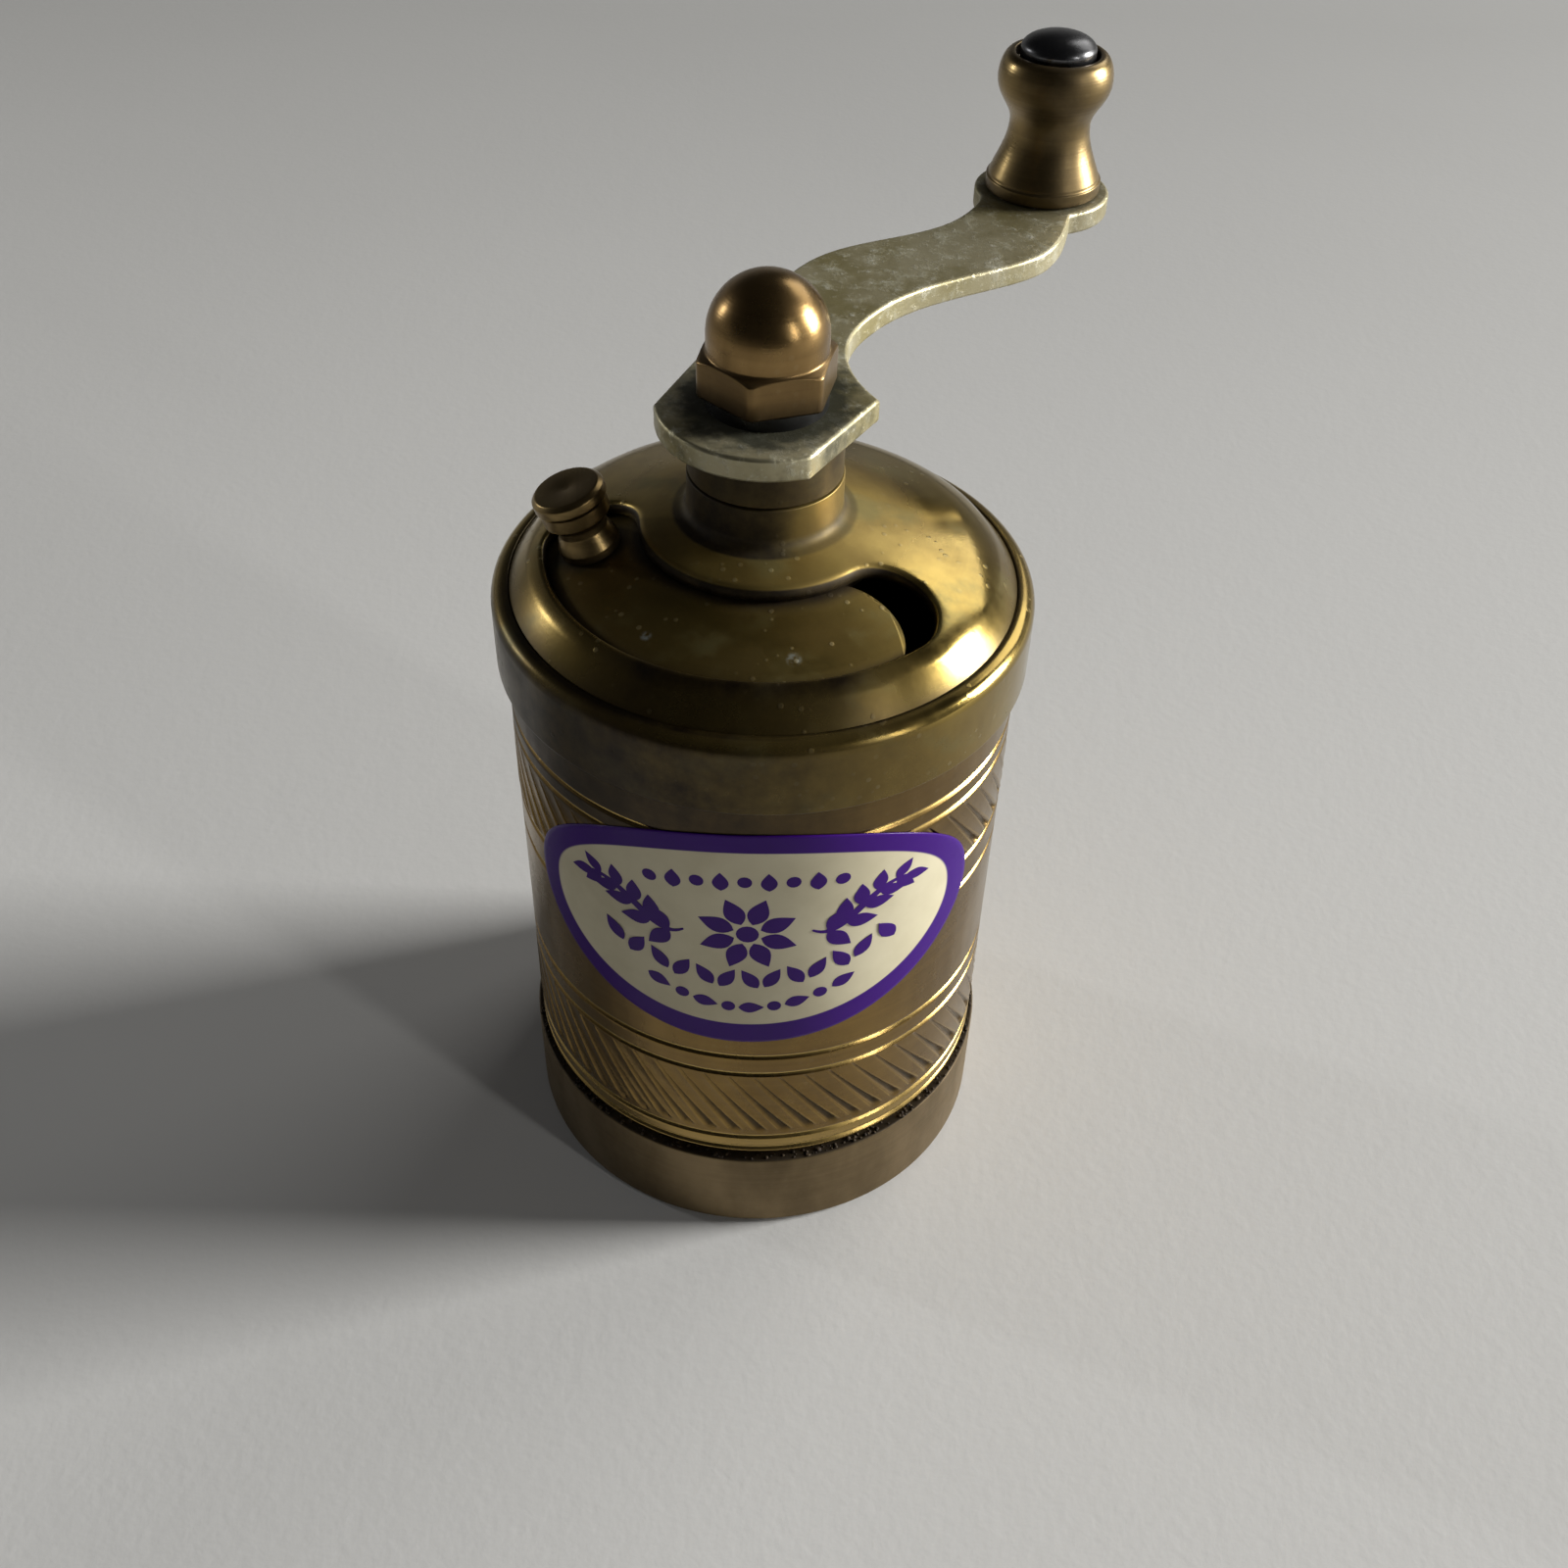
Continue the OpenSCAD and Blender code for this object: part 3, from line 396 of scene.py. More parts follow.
def pale_paper(name):
    """Matt paper with painted shade: a little darker behind the mill and darker again a long way off,
    under the windows.
    """
    f = surface(name)
    # Painted shade towards the back of the paper.
    back = between(f, part_of(f, place(f), "Y"), -0.08, 0.42)
    painted_far_shade = between(f, from_axis(f, place(f)), 0.45, 1.6)
    cloud = noise(f, 6.0, 3.0)
    fibre = noise(f, 900.0, 4.0)
    colour = mixed(f, back + cloud * 0.2, (0.63, 0.627, 0.618), (0.395, 0.393, 0.386))
    colour = mixed(f, painted_far_shade * 0.8, colour, (0.09, 0.09, 0.088))
    normal = bump(f, fibre + noise(f, 260.0, 3.0), 0.00012, 0.2)
    return f.shade(colour, 0.75 + fibre * 0.1, normal, {"Specular IOR Level": 0.08})


# Two pale bluish salt marks on the shutter, as a place and a reach
SALT_MARKS = (((2.37, -15.17, 63.79), 0.8), ((-8.91, -12.58, 63.77), 0.6))

tube_brass = aged_brass(
    "tube_brass", (0.27, 0.172, 0.056), (0.12, 0.074, 0.028), (0.03, 0.02, 0.009), 0.19, 0.6)
cup_brass = aged_brass(
    "cup_brass", (0.27, 0.195, 0.1), (0.15, 0.107, 0.053), (0.022, 0.015, 0.008), 0.4, 0.7, 0.9)
lid_brass = aged_brass(
    "lid_brass", (0.37, 0.265, 0.076), (0.18, 0.12, 0.036), (0.018, 0.011, 0.004), 0.13, 0.2, 0.7, 0.4,
    lines_by="R", dull_within=11.5)
shutter_brass = aged_brass(
    "shutter_brass", (0.25, 0.178, 0.05), (0.13, 0.083, 0.024), (0.018, 0.011, 0.005), 0.36, 0.2, 0.7, 0.5,
    lines_by="R", salts=SALT_MARKS)
knob_brass = aged_brass(
    "knob_brass", (0.3, 0.213, 0.09), (0.13, 0.088, 0.038), (0.03, 0.02, 0.009), 0.25, 1.0, 0.6)
nut_brass = aged_brass(
    "nut_brass", (0.31, 0.2, 0.08), (0.17, 0.105, 0.042), (0.022, 0.014, 0.006), 0.22, 0.6, 0.6)
bush_bronze = aged_brass(
    "bush_bronze", (0.58, 0.39, 0.17), (0.38, 0.25, 0.11), (0.08, 0.05, 0.02), 0.3, 0.6)
cast_brass = aged_brass(
    "cast_brass", (0.46, 0.33, 0.13), (0.3, 0.21, 0.085), (0.08, 0.05, 0.02), 0.42, 0.1)
crank_plate = pale_plate("crank_plate")
turned_steel = machined_steel("turned_steel", (0.52, 0.52, 0.52), (0.36, 0.35, 0.34), 0.28)
burr_steel = machined_steel("burr_steel", (0.36, 0.36, 0.365), (0.22, 0.215, 0.21), 0.38)
dark_steel = machined_steel("dark_steel", (0.14, 0.14, 0.145), (0.055, 0.055, 0.057), 0.24)
label_foil = foil_label("label_foil")
label_ink = violet_ink("label_ink")
coffee = coffee_crumb("coffee")


# Mesh making

AS_MADE = Matrix.Identity(4)


def linked(name, data):
    """A new object in the scene."""
    made = bpy.data.objects.new(name, data)
    bpy.context.scene.collection.objects.link(made)
    return made


def smooth_piece(name, points, faces, finish, body, replaced=(), grime_shade_wear=None, where=AS_MADE,
                 normals=True):
    mesh = bpy.data.meshes.new(name)
    mesh.from_pydata([where @ (Vector(p) * MM) for p in points], [], faces)
    form = bmesh.new()
    form.from_mesh(mesh)
    bmesh.ops.recalc_face_normals(form, faces=form.faces)
    form.to_mesh(mesh)
    form.free()
    mesh.shade_smooth()
    # The per-point mark of grime, painted shade and bare wear, read by the material.
    if grime_shade_wear:
        layer = mesh.attributes.new("grime_shade_wear_mark", "FLOAT", "POINT")
        layer.data.foreach_set("value", grime_shade_wear)
    mesh.materials.append(finish)
    made = linked(name, mesh)
    if normals:
        weighted = made.modifiers.new("large_faces_lead", "WEIGHTED_NORMAL")
        weighted.keep_sharp = True
    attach(made, body)
    if replaced:
        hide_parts(*replaced)
    return made


def bezier(a, b, c, d, count=16):
    out = []
    for i in range(count + 1):
        t = i / count
        s = 1 - t
        out.append(Vector(a) * s ** 3 + Vector(b) * 3 * t * s * s
                   + Vector(c) * 3 * t * t * s + Vector(d) * t ** 3)
    return out


def arc(centre, radius, start, end, count):
    return [Vector(centre) + polar(radius, start + (end - start) * i / count) for i in range(count + 1)]


def rounded(corners, closed=False, count=4):
    """A path through (x, y, fillet radius) corners with each corner rounded."""
    path = []
    last = len(corners) - 1
    for i, (x, y, fillet) in enumerate(corners):
        here = Vector((x, y))
        if fillet == 0 or (not closed and i in (0, last)):
            path.append(here)
            continue
        back = Vector(corners[i - 1][:2]) - here
        ahead = Vector(corners[(i + 1) % len(corners)][:2]) - here
        half = back.angle(ahead) / 2
        reach = min(fillet / tan(half), 0.49 * back.length, 0.49 * ahead.length)
        radius = reach * tan(half)
        back.normalize()
        ahead.normalize()
        centre = here + (back + ahead).normalized() * (radius / sin(half))
        start = here + back * reach - centre
        sweep = -start.angle_signed(here + ahead * reach - centre)
        turn = atan2(start.y, start.x)
        path += arc(centre, radius, turn, turn + sweep, count)
    return path


def lathe(profile, closed=True, steps=STEPS, offset=0):
    """Points and faces of a profile of (radius, height) turned about Z."""
    points, rows = [], []
    for radius, height in profile:
        if radius < 1e-6:
            rows.append([offset + len(points)] * steps)
            points.append((0.0, 0.0, height))
            continue
        rows.append([offset + len(points) + k for k in range(steps)])
        points += [(*p, height) for p in circle(radius, steps)]
    faces = []
    for low, high in list(zip(rows, rows[1:])) + ([(rows[-1], rows[0])] if closed else []):
        for k in range(steps):
            n = (k + 1) % steps
            faces.append(list(dict.fromkeys((low[k], low[n], high[n], high[k]))))
    return points, faces


def strips(first, rows, count):
    """Faces between rows of points, each row a closed ring of count points."""
    faces = []
    for i in range(rows - 1):
        for k in range(count):
            a, b = first + i * count + k, first + i * count + (k + 1) % count
            faces.append([a, b, b + count, a + count])
    return faces


def fan(first, count, tip):
    """Faces between a closed ring of points and one more point."""
    return [[first + k, first + (k + 1) % count, tip] for k in range(count)]


def turned(name, profile, finish, body, slot, replaced, where=AS_MADE, grime_shade_wear_at=None, steps=STEPS):
    """A turned piece; its profile either starts and ends on the axis or is a closed ring."""
    points, faces = lathe(profile, profile[0].x > 0, steps)
    # Each point's mark of grime, painted shade and bare wear.
    grime_shade_wear = [grime_shade_wear_at(Vector(p)) for p in points] if grime_shade_wear_at else None
    return smooth_piece(name, points, faces, finish, body, replaced, grime_shade_wear, where)


def near(value, centre, reach):
    return max(0.0, 1.0 - abs(value - centre) / reach)


def painted_front_shade(x, y):
    """How much painted shade a bearing gets: most at the front left, where it stands in for dark
    reflections.
    """
    return max(0.0, cos(atan2(y, x) - radians(235)))


# Catch cup, with ground coffee left along its rim

CRUMBS = 520
CRUMB_SIDES = 6
CRUMB_SIZE = (0.06, 0.2)
CRUMB_RING = (21.25, 22.02)
CRUMB_LEVELS = ((0, 0.75), (0.55, 1.0), (1.15, 0.7))
CRUMB_TOP = 1.4


def make_crumbs():
    draw = random.Random(7)
    n = CRUMB_SIDES
    points, faces = [], []
    for _ in range(CRUMBS):
        size = draw.uniform(*CRUMB_SIZE) * (1.5 if draw.random() < 0.08 else 1.0)
        at = polar(draw.uniform(*CRUMB_RING), draw.uniform(0, 2 * pi))
        squat = draw.uniform(0.5, 0.9)
        turn = draw.uniform(0, 2 * pi)
        first = len(points)
        for height, spread in CRUMB_LEVELS:
            for k in range(n):
                reach = polar(size * spread * draw.uniform(0.75, 1.2), turn + 2 * pi * k / n)
                points.append((at.x + reach.x, at.y + reach.y, CUP_H - 0.02 + height * size * squat))
        points.append((at.x, at.y, CUP_H + CRUMB_TOP * size * squat))
        faces += strips(first, len(CRUMB_LEVELS), n)
        crown = len(points) - 1
        faces += fan(crown - n, n, crown)
        faces.append([first + k for k in reversed(range(n))])
    smooth_piece("rim_crumbs", points, faces, coffee, "cup", normals=False)


def make_cup():
    profile = rounded([
        (0, 0, 0), (CUP_R - 0.5, 0, 0.3), (CUP_R, 0.5, 0.3), (CUP_R, CUP_H, 0.22),
        (CUP_IN_R, CUP_H, 0.18), (CUP_IN_R, CUP_FLOOR, 0.7), (0, CUP_FLOOR, 0),
    ])
    # Grime along the rim; painted shade round the foot and towards the front left.
    turned("catch_cup_turned", profile, cup_brass, "cup", "brass_cup", ["catch_cup"],
           grime_shade_wear_at=lambda p: max(near(p.z, CUP_H, 0.25), 0.5 * near(p.z, 0, 0.5), 0.3 * painted_front_shade(p.x, p.y)))


# Body tube with its turned grooves and two bands of slanting chisel strokes

STROKES = 60
STROKE_SHIFT = radians(14.5)
STROKE_BANDS = ((13.9, 21.75), (41.2, 48.1))
STROKE_ROWS = 24
# Places across a stroke in half widths, and their share of its depth; a raised burr lines both sides
STROKE_SECTION = (
    (-1.7, 0), (-1.2, -0.2), (-0.9, 0), (-0.4, 0.72), (0.15, 1.0), (0.6, 0.55), (0.9, 0),
    (1.2, -0.2), (1.7, 0),
)
# The same for one side of a groove
GROOVE_SECTION = ((-1.5, 0), (-1.05, 0), (-0.85, 0.12), (-0.35, 0.72), (0, 1.0))
TUBE_EDGE = 0.18
INSIDE_ROWS = 16
BOTTOM_LIP = 13.4


def stroke(v):
    """Half width and depth of a stroke at share v of its length from the top."""
    taper = min(1.0, v / 0.06) * min(1.0, (1.0 - v) / 0.05)
    half = 0.2 + 0.36 * v ** 1.3
    return half, max(0.0, (0.12 + 0.24 * v) * taper)


def stroke_shift(z):
    """How far the strokes' slant has turned the columns of the mesh at a height."""
    return sum(STROKE_SHIFT * min(1.0, max(0.0, (high - z) / (high - low))) for low, high in STROKE_BANDS)


def tube_rows():
    """Height and radius of each ring of the tube, up the outside and down the inside."""
    rows = [(BODY_Z + TUBE_EDGE, BODY_R), (BODY_TOP - TUBE_EDGE, BODY_R)]
    for z in GROOVES:
        for step, share in GROOVE_SECTION:
            for side in {step, -step}:
                rows.append((z + side * GROOVE_HALF, BODY_R - share * GROOVE_DEPTH))
    for low, high in STROKE_BANDS:
        rows += [(low + (high - low) * i / STROKE_ROWS, BODY_R) for i in range(STROKE_ROWS + 1)]
    rows.sort()
    rows += [(BODY_TOP, BODY_R - TUBE_EDGE), (BODY_TOP, TUBE_IN_R + 0.1)]
    deep = BODY_TOP - BODY_Z - 0.2
    rows += [(BODY_TOP - 0.1 - deep * i / INSIDE_ROWS, TUBE_IN_R) for i in range(INSIDE_ROWS + 1)]
    return rows + [(BODY_Z, TUBE_IN_R + 0.1), (BODY_Z, BODY_R - TUBE_EDGE)]


def make_body():
    rows = tube_rows()
    pitch = 2 * pi / STROKES
    points, grime_shade_wear = [], []
    for z, radius in rows:
        half, depth = stroke(0)
        for low, high in STROKE_BANDS:
            if low <= z <= high and radius == BODY_R:
                half, depth = stroke((high - z) / (high - low))
        bare = 0.9 * min(1.0, (BODY_R - radius) / GROOVE_DEPTH) if BODY_Z < z < BODY_TOP else 0.0
        if z < BOTTOM_LIP:
            bare = max(bare, 0.5)
        # Darker inside the tube.
        if radius == TUBE_IN_R:
            bare = -0.6
        # Painted shade under the lid's skirt: darker towards the top of the tube.
        brown = 0.25 + 0.8 * min(1.0, max(0.0, (z - 45) / 5))
        for k in range(STROKES):
            middle = (k + 0.5) * pitch + stroke_shift(z)
            columns = [(middle + u * half / BODY_R, share) for u, share in STROKE_SECTION]
            for bearing, share in [(middle - pitch / 2, 0)] + columns:
                x, y = polar(radius - depth * share, bearing)
                points.append((x, y, z))
                # Grime in the strokes' hollows, with painted shade under the skirt and towards the front
                # left, kept off bare metal.
                dirt_and_shade = max(min(0.8, depth * share / 0.3), brown * painted_front_shade(x, y) * (1 - max(0.0, bare)))
                grime_shade_wear.append(dirt_and_shade - bare + 8 * depth * min(0.0, share))
    rings = strips(0, len(rows) + 1, STROKES * (1 + len(STROKE_SECTION)))
    faces = [[i % len(points) for i in face] for face in rings]
    smooth_piece("body_tube_carved", points, faces, tube_brass, "mill", ["body_tube"],
                 grime_shade_wear)


# Lid: turned rim, skirt and neck, and a spun dome with the filling slot through it

def dome_z(radius, depth=0.0):
    """Height of the dome's outer face, or of the face at a depth below it."""
    reach = SHOULDER_R - depth
    if radius <= SHOULDER_C[0] + reach * sin(DOME_SLOPE):
        slant = (SHOULDER_C[0] - radius) * tan(DOME_SLOPE)
        return SHOULDER_C[1] + reach / cos(DOME_SLOPE) + slant
    return SHOULDER_C[1] + sqrt(max(0.0, reach ** 2 - (radius - SHOULDER_C[0]) ** 2))


def on_dome(p, depth):
    return (p.x, p.y, dome_z(p.length, depth))


def slot_loop(half):
    """The filling slot's outline in plan at a half width."""
    return kidney_loop(SLOT_R, half, SLOT_FROM, SLOT_SWEEP)


def in_slot(p, half):
    return in_kidney(p, SLOT_R, half, SLOT_FROM, SLOT_SWEEP)


def staggered(radii):
    """Points on rings in plan, every second ring turned by half a step."""
    return [polar(r, 2 * pi * (k + 0.5 * (i % 2)) / STEPS)
            for i, r in enumerate(radii) for k in range(STEPS)]


def inside(p, loop):
    """Whether a point in plan lies inside a closed loop."""
    found = False
    for a, b in zip(loop, loop[1:] + loop[:1]):
        if (a.y > p.y) != (b.y > p.y) and p.x < a.x + (p.y - a.y) * (b.x - a.x) / (b.y - a.y):
            found = not found
    return found


def sheet(loops, inner, keep):
    """Triangles between closed loops in plan, with more points inside; keep(p) says which faces stay."""
    points, edges = [], []
    for loop in loops:
        first = len(points)
        points += loop
        edges += [(first + k, first + (k + 1) % len(loop)) for k in range(len(loop))]
    points += inner
    found, _, faces, _, _, _ = delaunay_2d_cdt(points, edges, [], 0, 1e-7)
    return found, [list(t) for t in faces if keep(sum((found[i] for i in t), Vector((0, 0))) / 3)]


# Between these radii the underside of the dome has the same plan as its top
SAME_FROM = 9.5
SAME_TO = 18.3


def lid_dirt_and_shade(x, y, z, foot_z):
    """Painted shade in the crease, round the neck, in the slot and on the dome's front and left; a
    tarnished band with a bare line on the skirt, and painted shade on its front left.
    """
    r = hypot(x, y)
    # Painted shade in the crease between the dome and the rim.
    dirt_and_shade = near(r, DOME_R + CREASE / 2, 0.45) * (1 if z > RIM_Z - 1 else 0)
    # Painted shade round the neck: all round, at its foot and towards the front left.
    if r < NECK_R + 1.2:
        dirt_and_shade = max(dirt_and_shade, 0.38, 0.8 * near(z, foot_z - 0.5, 1.6), 1.1 * painted_front_shade(x, y))
    # On the skirt: a tarnished band with a bare line along its lower edge, and painted shade towards the
    # front left.
    if r > 21:
        edge = 0.7 * near(z, SKIRT_Z + 0.9, 0.9) - 0.5 * near(z, SKIRT_Z, 0.35)
        dirt_and_shade = max(dirt_and_shade, edge, 0.95 * painted_front_shade(x, y))
    elif r > SLOT_R:
        # Painted shade on the dome's front, in place of dark reflections, and on its left, dimming the
        # shine there.
        bearing = math.degrees(atan2(y, x))
        front = min(1.0, 2 * near(bearing, -95, 46))
        left = 0.45 * near(bearing, -150, 30)
        dirt_and_shade = max(dirt_and_shade, near(r, SLOT_R + SLOT_HALF + 0.5, 3.8) * max(front, left))
    # Painted shade on the slot's walls and on the underside round it.
    if abs(r - SLOT_R) < SLOT_HALF + SLOT_EDGE and z < dome_z(r) - 0.15:
        dirt_and_shade = 1.0
    if r > DOME_R + 0.6 and z > SKIRT_Z + 1.2:
        dirt_and_shade -= 0.35 * near(z, RIM_Z - 0.35, 0.5)
    return dirt_and_shade


def make_lid():
    foot_c = (NECK_R + NECK_FILLET, dome_z(NECK_R + NECK_FILLET, -NECK_FILLET))
    fillet = arc(foot_c, NECK_FILLET, pi, 1.5 * pi - DOME_SLOPE, 8)
    foot_r = fillet[-1].x
    wide_slot = SLOT_HALF + SLOT_EDGE
    radii = [r for r in (foot_r + 0.3 + 0.42 * j for j in range(30)) if r < DOME_R - 0.25]
    plan, tris = sheet(
        [circle(foot_r), circle(DOME_R), slot_loop(wide_slot)],
        [p for p in staggered(radii) if not in_slot(p, wide_slot + 0.3)],
        lambda p: foot_r < p.length < DOME_R and not in_slot(p, wide_slot - 1e-4),
    )
    under_edge = SHOULDER_C[0] + (SHOULDER_R - LID_SHEET) * sin(SHOULDER_ANGLE)

    def under(p):
        """The same place on the underside; the slot keeps its outline."""
        r = r2 = p.length
        if r < SAME_FROM:
            r2 = NECK_BORE_R + (r - foot_r) * (SAME_FROM - NECK_BORE_R) / (SAME_FROM - foot_r)
        elif r > SAME_TO:
            r2 = SAME_TO + (r - SAME_TO) * (under_edge - SAME_TO) / (DOME_R - SAME_TO)
        q = p * (r2 / r)
        return (q.x, q.y, dome_z(r2, LID_SHEET))

    points = [on_dome(p, 0.0) for p in plan] + [under(p) for p in plan]
    faces = tris + [[i + len(plan) for i in reversed(t)] for t in tris]
    # Walls of the slot, with a rounded upper edge
    loops = []
    for k in range(6):
        a = 0.5 * pi * k / 5
        wide = SLOT_HALF + SLOT_EDGE * (1 - sin(a))
        drop = SLOT_EDGE * (1 - cos(a))
        loops.append([(p.x, p.y, dome_z(p.length) - drop) for p in slot_loop(wide)])
    loops.append([(p.x, p.y, dome_z(p.length, LID_SHEET) + 0.05) for p in slot_loop(SLOT_HALF)])
    loops.append([under(p) for p in slot_loop(wide_slot)])
    faces += [f[::-1] for f in strips(len(points), len(loops), len(loops[0]))]
    points += [p for loop in loops for p in loop]
    # Rim and skirt outside the dome
    rim = rounded([
        (DOME_R, RIM_Z, 0), (DOME_R + CREASE / 2, RIM_Z - CREASE, 0.08), (LID_R - RIM_ROUND, RIM_Z, 0),
    ])[:-1]
    rim += arc((LID_R - RIM_ROUND, RIM_Z - RIM_ROUND), RIM_ROUND, radians(100), 0, 14)
    rim += rounded([
        (LID_R, RIM_Z - 2, 0), (LID_R, SKIRT_Z, 0.22), (LID_IN_R, SKIRT_Z, 0.2),
        (LID_IN_R, BODY_TOP, 0.1), (under_edge, BODY_TOP, 0),
    ])[1:]
    rim.append(Vector((under_edge, dome_z(under_edge, LID_SHEET))))
    more, more_faces = lathe(rim, False, offset=len(points))
    points += more
    faces += [f[::-1] for f in more_faces]
    # Neck
    neck = fillet[::-1] + rounded([
        (NECK_R, foot_c[1], 0), (NECK_R, NECK_TOP, 0.1), (NECK_BORE_R, NECK_TOP, 0.15),
        (NECK_BORE_R, dome_z(NECK_BORE_R, LID_SHEET), 0),
    ])[1:]
    more, more_faces = lathe(neck, False, offset=len(points))
    points += more
    faces += more_faces
    points, faces = welded(points, faces)
    grime_shade_wear = [lid_dirt_and_shade(*p, foot_c[1]) for p in points]
    smooth_piece("lid_spun", points, faces, lid_brass, "mill", ["lid"], grime_shade_wear)


def spot(p):
    return tuple(round(c, 3) for c in p)


def welded(points, faces):
    """Joins points at the same place and drops the faces that collapse."""
    index, kept, swap = {}, [], []
    for p in points:
        key = spot(p)
        if key not in index:
            index[key] = len(kept)
            kept.append(tuple(p))
        swap.append(index[key])
    loops = [list(dict.fromkeys(swap[i] for i in face)) for face in faces]
    return kept, [loop for loop in loops if len(loop) > 2]


# Shutter plate under the dome, and its tab knob

def kidney_loop(radius, half, start, sweep, side=96, end=24):
    """A bent slot's outline in plan, counter-clockwise."""
    stop = start + sweep
    path = arc((0, 0), radius + half, start, stop, side)[:-1]
    path += arc(polar(radius, stop), half, stop, stop + pi, end)[:-1]
    path += arc((0, 0), radius - half, stop, start, side)[:-1]
    path += arc(polar(radius, start), half, start + pi, start + 2 * pi, end)[:-1]
    return path


def in_kidney(p, radius, half, start, sweep):
    bearing = (atan2(p.y, p.x) - start) % (2 * pi)
    if bearing <= sweep:
        return abs(p.length - radius) < half
    return min((p - polar(radius, a)).length for a in (start, start + sweep)) < half


def plate(plan, tris, lifted, top, under):
    """Points and faces of a sheet between two levels, with walls round its open edges."""
    n = len(plan)
    points = [lifted(p, level) for level in (top, under) for p in plan]
    faces = tris + [[i + n for i in reversed(t)] for t in tris]
    edges = {(a, b) for t in tris for a, b in zip(t, t[1:] + t[:1])}
    faces += [[b, a, a + n, b + n] for a, b in edges if (b, a) not in edges]
    return points, faces


def make_shutter():
    outline = (SLOT_R, SHUTTER_HALF, SHUTTER_FROM, SHUTTER_SWEEP)
    tab = polar(SLOT_R, TAB_BEARING)

    def keep(p):
        r = p.length
        if r < SHUTTER_BORE_R or (p - tab).length < TAB_TAIL_R:
            return False
        return r < SHUTTER_HUB_R or in_kidney(p, *outline)

    rings = staggered([SHUTTER_BORE_R + 0.5 * j for j in range(1, 27)])
    inner = [p for p in rings if keep(p) and (p - tab).length > TAB_TAIL_R + 0.3]
    hole = [tab + p for p in circle(TAB_TAIL_R + 0.02, 32)]
    loops = [kidney_loop(*outline), circle(SHUTTER_HUB_R), circle(SHUTTER_BORE_R), hole]
    plan, tris = sheet(loops, inner, keep)
    points, faces = plate(plan, tris, on_dome, SHUTTER_TOP, SHUTTER_UNDER)
    # Darker where the plate runs under the dome; painted shade round the tab's foot and towards the front
    # left.
    grime_shade_wear = []
    for x, y, _ in points:
        p = Vector((x, y))
        dirt_and_shade = max(0.0, min(1.0, (abs(p.length - SLOT_R) - 2.3) / 1.6))
        grime_shade_wear.append(max(dirt_and_shade, 0.9 * near((p - tab).length, 2.4, 1.6), 0.45 * painted_front_shade(x, y + SLOT_R)))
    smooth_piece("shutter_plate_spun", points, faces, shutter_brass, "shutter",
                 ["shutter_plate"], grime_shade_wear)


def make_tab():
    tail = -(SHUTTER_UNDER - SHUTTER_TOP) - 0.05
    low = tail - 0.6 * TAB_TAIL_R
    collar = 0.92 * TAB_HEAD_R
    profile = rounded([
        (0, low, 0), (1.6 * TAB_TAIL_R, low, 0.1), (1.8 * TAB_TAIL_R, tail, 0.1), (TAB_TAIL_R, tail, 0),
        (TAB_TAIL_R, 0, 0), (TAB_FOOT_R, 0, 0.1), (TAB_FOOT_R, 0.12 * TAB_H, 0.25),
        (TAB_WAIST_R, 0.34 * TAB_H, 0.4), (TAB_WAIST_R, 0.46 * TAB_H, 0.4), (collar, 0.56 * TAB_H, 0.2),
        (collar, 0.76 * TAB_H, 0.15), (TAB_HEAD_R, 0.82 * TAB_H, 0.15), (TAB_HEAD_R, 0.94 * TAB_H, 0.2),
        (0.88 * TAB_HEAD_R, TAB_H, 0.3), (0.5, TAB_H, 0), (0, TAB_H - 0.12, 0),
    ])
    at = polar(SLOT_R, TAB_BEARING)
    where = Matrix.Translation(Vector((at.x, at.y, dome_z(SLOT_R, SHUTTER_TOP))) * MM)
    where @= Matrix.Rotation(TAB_BEARING, 4, "Z") @ Matrix.Rotation(DOME_SLOPE, 4, "Y")
    # Painted shade at the foot against the shutter and in the waist.
    turned("tab_knob_turned", profile, knob_brass, "shutter", "brass_turned", ["tab_knob"], where,
           lambda p: 0.8 * near(p.z, 0, 0.9) + 0.5 * near(p.z, 0.4 * TAB_H, 0.5), 96)


# Crank: spacer, S-shaped plate, cap nut, grip and rivet

def make_spacer():
    bore = SPINDLE_R + 0.02
    profile = rounded([
        (bore, SPACER_Z, 0.1), (SPACER_R, SPACER_Z, 0.08), (SPACER_R, CRANK_Z, 0.2), (bore, CRANK_Z, 0.1),
    ], True)
    # Painted shade all over, which dims its lit side, and at both ends between the parts.
    turned("crank_spacer_turned", profile, lid_brass, "crank", "brass_lid", ["crank_spacer"],
           grime_shade_wear_at=lambda p: 0.35 + 0.6 * near(p.z, SPACER_Z, 0.3) + 0.6 * near(p.z, CRANK_Z, 1.2))


